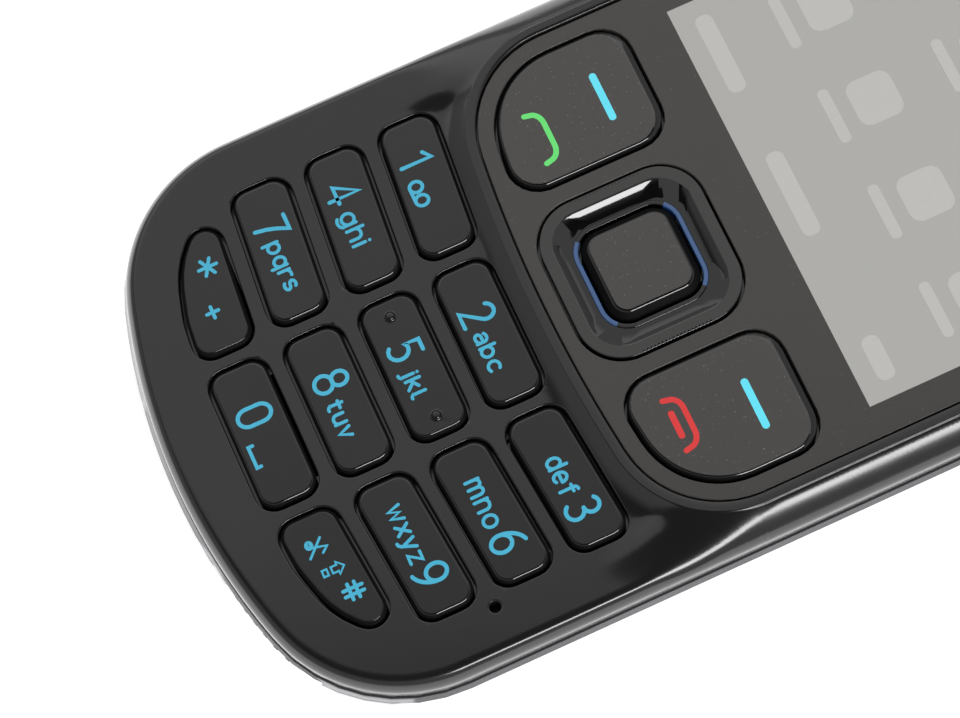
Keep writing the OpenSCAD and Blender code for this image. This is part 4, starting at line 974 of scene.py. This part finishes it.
@dataclass
class NumberKeys:
    """The twelve number keys with their printed legends."""

    shop: Workshop
    top_z: float = 11.0
    heavy: float = 0.31
    light: float = 0.25
    legends: tuple[Legend, ...] = (
        Legend("key_1", "1", Place(-15.2, -14.3, -29.46, -26.72)),
        Legend("key_2", "2", Place(-2.3, -0.78, -30.3, -27.44),
               "abc", Place(-0.26, 2.99, -29.96, -28.52)),
        Legend("key_3", "3", Place(14.41, 15.89, -29.47, -26.6),
               "def", Place(10.66, 13.78, -29.18, -27.56)),
        Legend("key_4", "4", Place(-15.48, -13.78, -35.43, -32.71),
               "ghi", Place(-13.12, -10.24, -35.53, -33.59)),
        Legend("key_5", "5", Place(-2.06, -0.65, -36.24, -33.43),
               "jkl", Place(0.16, 2.45, -36.25, -34.57)),
        Legend("key_6", "6", Place(14.24, 15.84, -35.39, -32.53),
               "mno", Place(9.71, 13.72, -35.14, -33.86)),
        Legend("key_7", "7", Place(-15.15, -13.64, -41.43, -38.63),
               "pqrs", Place(-13.34, -9.22, -41.38, -39.93)),
        Legend("key_8", "8", Place(-2.3, -0.64, -42.19, -39.32),
               "tuv", Place(-0.04, 3.02, -41.9, -40.52)),
        Legend("key_9", "9", Place(14.1, 15.7, -41.46, -38.61),
               "wxyz", Place(9.05, 13.77, -41.44, -39.92)),
        Legend("key_star"), Legend("key_0", "0", Place(-2.34, -0.67, -48.32, -45.44)), Legend("key_hash"))
    # Further signs by key: lines in any unit, the box that they fill and the width of their lines
    signs: dict[str, list[tuple[list[list[Point]], Place, float]]] = field(default_factory=lambda: {
        "key_1": [([ring(0.3, 0.35, 0.3, 0.35), ring(1.1, 0.35, 0.3, 0.35), [(0.3, 0.0), (1.1, 0.0)]],
                   Place(-13.25, -10.97, -29.54, -28.28), 0.27)],
        "key_star": [([[(0.5, 0.0), (0.5, 1.0)], [(0.07, 0.25), (0.93, 0.75)], [(0.07, 0.75), (0.93, 0.25)]],
                      Place(-14.34, -12.84, -46.39, -44.69), 0.27),
                     ([[(0.5, 0.0), (0.5, 1.0)], [(0.0, 0.5), (1.0, 0.5)]],
                      Place(-10.75, -9.55, -47.17, -45.97), 0.27)],
        "key_0": [([[(0.0, 1.0), (0.0, 0.0), (3.6, 0.0), (3.6, 1.0)]], Place(0.45, 2.41, -48.4, -47.8), 0.27)],
        "key_hash": [([[(0.32, 0.0), (0.32, 1.0)], [(0.7, 0.0), (0.7, 1.0)], [(0.0, 0.32), (1.0, 0.32)],
                       [(0.0, 0.68), (1.0, 0.68)]], Place(12.9, 14.4, -46.4, -44.66), 0.27),
                     ([[(0.25, 0.42), (0.25, 0.7), (0.0, 0.7), (0.5, 1.0), (1.0, 0.7), (0.75, 0.7),
                        (0.75, 0.42), (0.25, 0.42)],
                       [(0.25, 0.0), (0.75, 0.0), (0.75, 0.22), (0.25, 0.22), (0.25, 0.0)]],
                      Place(11.05, 12.2, -47.14, -45.33), 0.15),
                     ([ring(0.0, 0.0, 1.0, 1.0)], Place(8.88, 9.62, -47.5, -46.84), 0.35),
                     ([[(0.38, 0.22), (0.62, 1.0), (0.9, 0.72)], [(0.05, 0.85), (0.95, 0.1)]],
                      Place(8.9, 10.31, -47.53, -45.85), 0.19)],
    })

    def build(self) -> None:
        """Rounds each key's edges and prints its legend."""
        for legend in self.legends:
            bm = node_copy(legend.node)
            soften(bm, corners(bm, 20, lambda e: height(e) > self.top_z - 0.5), 0.1)
            self.shop.key(bm, f"{legend.node}_cap", legend.node, Finishes.KEY, self.top_z)
            self.print_legend(legend)

    def print_legend(self, legend: Legend) -> None:
        """Prints the digit, the letters beside it and further signs.

        Args:
            legend: What to print and where.
        """
        ink = Ink()
        if legend.at is not None:
            ink.strokes(Letters.DIGITS[legend.digit], legend.at, self.heavy)
        if legend.beside is not None:
            ink.word(legend.word, legend.beside, self.light)
        for lines, place, width in self.signs.get(legend.node, []):
            ink.strokes(lines, place, width)
        ink.lay(self.shop, f"{legend.node}_legend", legend.node, "key_black", Finishes.CYAN, self.top_z)


@dataclass
class CallKeys:
    """The two rocker keys beside the navigation key."""

    shop: Workshop
    top_z: float = 11.75
    sink: float = 0.02
    step: float = 0.35
    line: float = 0.42
    bars: tuple[Place, Place] = (Place(-15.04, -10.91, -13.66, -13.09), Place(11.42, 15.56, -13.78, -13.2))
    arches: tuple[Place, Place] = (Place(-14.25, -9.7, -19.58, -18.02), Place(10.27, 14.79, -19.71, -18.1))
    inner: Place = Place(11.38, 13.65, -19.56, -19.08)

    def build(self) -> None:
        """Rounds both keys and prints their bars and arches."""
        arch: list[Point] = [(0.0, 0.0), *bow(1.2, 0.45, 1.1, 1.05, 165, 90, 8),
                             *bow(3.3, 0.45, 1.1, 1.05, 90, 15, 8), (4.5, 0.0)]
        for i, (node, finish) in enumerate((("call_key", Finishes.GREEN), ("end_key", Finishes.RED))):
            self.key(node)
            bar = Ink()
            bar.plate(self.bars[i], 0.28)
            bar.lay(self.shop, f"{node}_bar", node, "key_black", Finishes.SOFT_CYAN, self.top_z - self.sink)
            sign = Ink()
            sign.strokes([arch], self.arches[i], self.line)
            if node == "end_key":
                sign.plate(self.inner, 0.22)
            sign.lay(self.shop, f"{node}_arch", node, "key_black", finish, self.top_z - self.sink)

    def key(self, node: str) -> None:
        """Widens the key's upper bevel and rounds its edges.

        Args:
            node: Name of the key's node.
        """
        bm = node_copy(node)
        far = max(v.co.y for v in bm.verts) / MM
        for v in bm.verts:
            if v.co.z / MM > self.top_z - 0.01:
                v.co.z -= self.sink * MM
                reach = max(0.0, 1 - (far - v.co.y / MM) / 4.0)
                v.co.y -= self.step * reach * MM
        soften(bm, corners(bm, 20, lambda e: height(e) > self.top_z - 0.6), 0.12)
        self.shop.key(bm, f"{node}_cap", node, Finishes.CALL, self.top_z)


@dataclass
class NavigationKey:
    """Dished ring, light ring and select key."""

    shop: Workshop
    middle_y: float = -16.325
    top_z: float = 11.6
    half: float = 6.5
    ridges: int = 19
    ridge_gap: float = 0.3
    ridge: tuple[float, float, float] = (0.2, 0.14, 0.2)
    ridge_in: float = 0.122
    ridge_down: float = 0.078
    ridge_lean: float = 25.0
    ridge_round: float = 0.03

    def build(self) -> None:
        """Rounds the ring and the select key and dresses them."""
        self.dished_ring()
        self.grip()
        bm = node_copy("nav_halo")
        soften(bm, corners(bm, 60, lambda e: height(e) > 10.9), 0.08, 2)
        for way in ((1, 1, 0), (1, -1, 0)):
            bmesh.ops.bisect_plane(bm, geom=[*bm.verts, *bm.edges, *bm.faces], plane_no=way,
                                   plane_co=(0, self.middle_y * MM, 0))
        for face in bm.faces:
            spot = face.calc_center_median() / MM
            face.material_index = int(abs(spot.x) > abs(spot.y - self.middle_y))
        self.shop.piece(bm, "light_ring", Body.NAV_RING, "blue_light_guide", [Finishes.HALO, Finishes.GLOSS],
                        replaces=["nav_halo"])
        bm = node_copy("select_key")
        soften(bm, corners(bm, 20, lambda e: height(e) > self.top_z - 0.9), 0.16, 4)
        self.shop.key(bm, "select_key_cap", "select_key", Finishes.CALL, self.top_z)

    def dished_ring(self) -> None:
        """Rounds the ring's edges and splits the satin rim from the glossy dish."""
        bm = node_copy("nav_ring")
        soften(bm, corners(bm, 30, lambda e: height(e) > self.top_z - 0.05), 0.16, 4)
        bm.normal_update()
        for face in bm.faces:
            spot = face.calc_center_median() / MM
            rim = face.normal.z > 0.9 and spot.z > self.top_z - 0.05
            face.material_index = 0 if rim else 1
        self.shop.piece(bm, "navigation_ring", Body.NAV_RING, "gloss_black", [Finishes.RIM, Finishes.GLOSS],
                        replaces=["nav_ring"])

    def grip(self) -> None:
        """Sets fine ridges along the ring's left and right outer edges."""
        bm = bmesh.new()
        for side in (-1, 1):
            for i in range(self.ridges):
                y = self.middle_y + (i - (self.ridges - 1) / 2) * self.ridge_gap
                spot = Matrix.Translation((side * (self.half - self.ridge_in), y, self.top_z - self.ridge_down))
                lean = Matrix.Rotation(math.radians(self.ridge_lean * side), 4, "Y")
                made = bmesh.ops.create_cube(bm, size=1.0,
                                             matrix=spot @ lean @ Matrix.Diagonal((*self.ridge, 1)))
                edges = list({e for v in made["verts"] for e in v.link_edges})
                bmesh.ops.bevel(bm, geom=edges, offset=self.ridge_round, segments=2, profile=0.5,
                                affect="EDGES", clamp_overlap=True, material=-1)
        bmesh.ops.transform(bm, verts=bm.verts, matrix=Matrix.Diagonal((MM, MM, MM, 1)))
        self.shop.piece(bm, "ring_grip", Body.NAV_RING, "gloss_black", [Finishes.GLOSS])


@dataclass
class RearHalf:
    """Rear shell, battery cover, release catch and side keys."""

    shop: Workshop

    def build(self) -> None:
        """Rounds the edges of the rear pieces and dresses them."""
        for node, name, body, slot, finish, width in (
                ("rear_shell", "rear_case", Body.CASE, "rear_grey", Finishes.REAR, 0.1),
                ("battery_cover", "battery_cover_panel", Body.COVER, "rear_grey", Finishes.REAR, 0.1),
                ("cover_release", "release_catch", Body.RELEASE, "rear_grey", Finishes.REAR, 0.06),
                ("volume_key", "volume_rocker", Body.VOLUME, "key_black", Finishes.KEY, 0.2),
                ("power_key", "power_button", Body.POWER, "key_black", Finishes.KEY, 0.2)):
            bm = node_copy(node)
            soften(bm, corners(bm, 50), width, 2)
            self.shop.piece(bm, name, body, slot, [finish], replaces=[node])


@dataclass
class Studio:
    """Floor, light and the camera at the photograph's angle."""

    eye: tuple[float, float, float] = (70.77, -47.285, 234.95)
    look: tuple[float, float, float] = (-0.29417, 0.07307, -0.95296)
    up: tuple[float, float, float] = (-0.86297, 0.40825, 0.29769)
    lens: float = 120.0
    floor_seen: float = 0.55
    floor_mirrored: float = 1.5
    horizon: float = 0.7
    zenith: float = 0.05
    # Heights of the sky at which it starts to dim and is dark
    dim_from: float = 0.6
    dim_to: float = 0.85

    def build(self) -> None:
        """Sets up the whole studio."""
        bpy.context.scene.view_settings.view_transform = "Standard"
        self.camera()
        self.floor()
        self.light()

    def camera(self) -> None:
        """Places the camera."""
        data = bpy.data.cameras.new("camera")
        data.lens = self.lens
        data.sensor_width = 36.0
        data.clip_start = 0.01
        eye = show("camera", data)
        look = Vector(self.look).normalized()
        side = look.cross(Vector(self.up)).normalized()
        top = side.cross(look)
        turn = Matrix((side, top, -look)).transposed().to_4x4()
        eye.matrix_world = Matrix.Translation(Vector(self.eye) * MM) @ turn
        bpy.context.scene.camera = eye

    def floor(self) -> None:
        """Lays a white floor that shows as white and keeps the shadow."""
        bm = bmesh.new()
        bmesh.ops.create_grid(bm, x_segments=2, y_segments=2, size=3.0,
                              matrix=Matrix.Translation((0, 0, -0.02 * MM)))
        mesh = bpy.data.meshes.new("floor")
        bm.to_mesh(mesh)
        bm.free()
        material = bpy.data.materials.new("white_paper")
        material.use_nodes = True
        tree = material.node_tree
        shader = tree.nodes["Principled BSDF"]
        shader.inputs["Base Color"].default_value = linear("#F2F2F2")
        shader.inputs["Roughness"].default_value = 0.8
        path = add_node(tree, "ShaderNodeLightPath").outputs
        seen = add_node(tree, "ShaderNodeMath", {"operation": "MULTIPLY"}, i0=path["Is Camera Ray"],
                        i1=self.floor_seen).outputs[0]
        lift = add_node(tree, "ShaderNodeMath", {"operation": "MULTIPLY_ADD"}, i0=path["Is Glossy Ray"],
                        i1=self.floor_mirrored, i2=seen).outputs[0]
        shader.inputs["Emission Color"].default_value = (1, 1, 1, 1)
        tree.links.new(lift, shader.inputs["Emission Strength"])
        mesh.materials.append(material)
        floor = show("floor", mesh)

    def lamp(self, name: str, spot: tuple[float, float, float], size: Point, power: float) -> None:
        """Hangs a soft box aimed at the phone.

        Args:
            name: Name of the lamp.
            spot: Its place in metres.
            size: Its width and height in metres.
            power: Its power in watts.
        """
        data = bpy.data.lights.new(name, "AREA")
        data.shape = "RECTANGLE"
        data.size, data.size_y = size
        data.energy = power
        lamp = show(name, data)
        lamp.location = spot
        lamp.rotation_euler = (-Vector(spot)).to_track_quat("-Z", "Y").to_euler()

    def light(self) -> None:
        """Hangs the lamps and sets plain surroundings, pale at the horizon and dark overhead."""
        world = bpy.data.worlds.new("studio")
        world.use_nodes = True
        tree = world.node_tree
        way = add_node(tree, "ShaderNodeTexCoord").outputs["Generated"]
        rise = add_node(tree, "ShaderNodeSeparateXYZ", None, Vector=way).outputs["Z"]
        level = add_node(tree, "ShaderNodeMapRange", {
            "From Min": self.dim_from, "From Max": self.dim_to,
            "To Min": self.horizon, "To Max": self.zenith}, Value=rise)
        tree.links.new(level.outputs["Result"], tree.nodes["Background"].inputs["Strength"])
        tree.nodes["Background"].inputs["Color"].default_value = linear("#FFFFFF")
        bpy.context.scene.world = world
        self.lamp("side_strip_box", (0.553, 0.12, 0.485), (0.4, 0.15), 3.6)
        self.lamp("large_soft_box", (-0.617, 0.18, 0.766), (1.6, 1.136), 5.7)


def main() -> None:
    """Builds the studio and every sub-assembly."""
    logging.basicConfig(level=logging.INFO, format="%(name)s: %(message)s")
    shop = Workshop()
    shop.dress_nodes()
    Studio().build()
    for part in (FrontCover(shop), Window(shop), NumberKeys(shop), CallKeys(shop), NavigationKey(shop),
                 RearHalf(shop)):
        part.build()


if __name__ == "__main__":
    main()
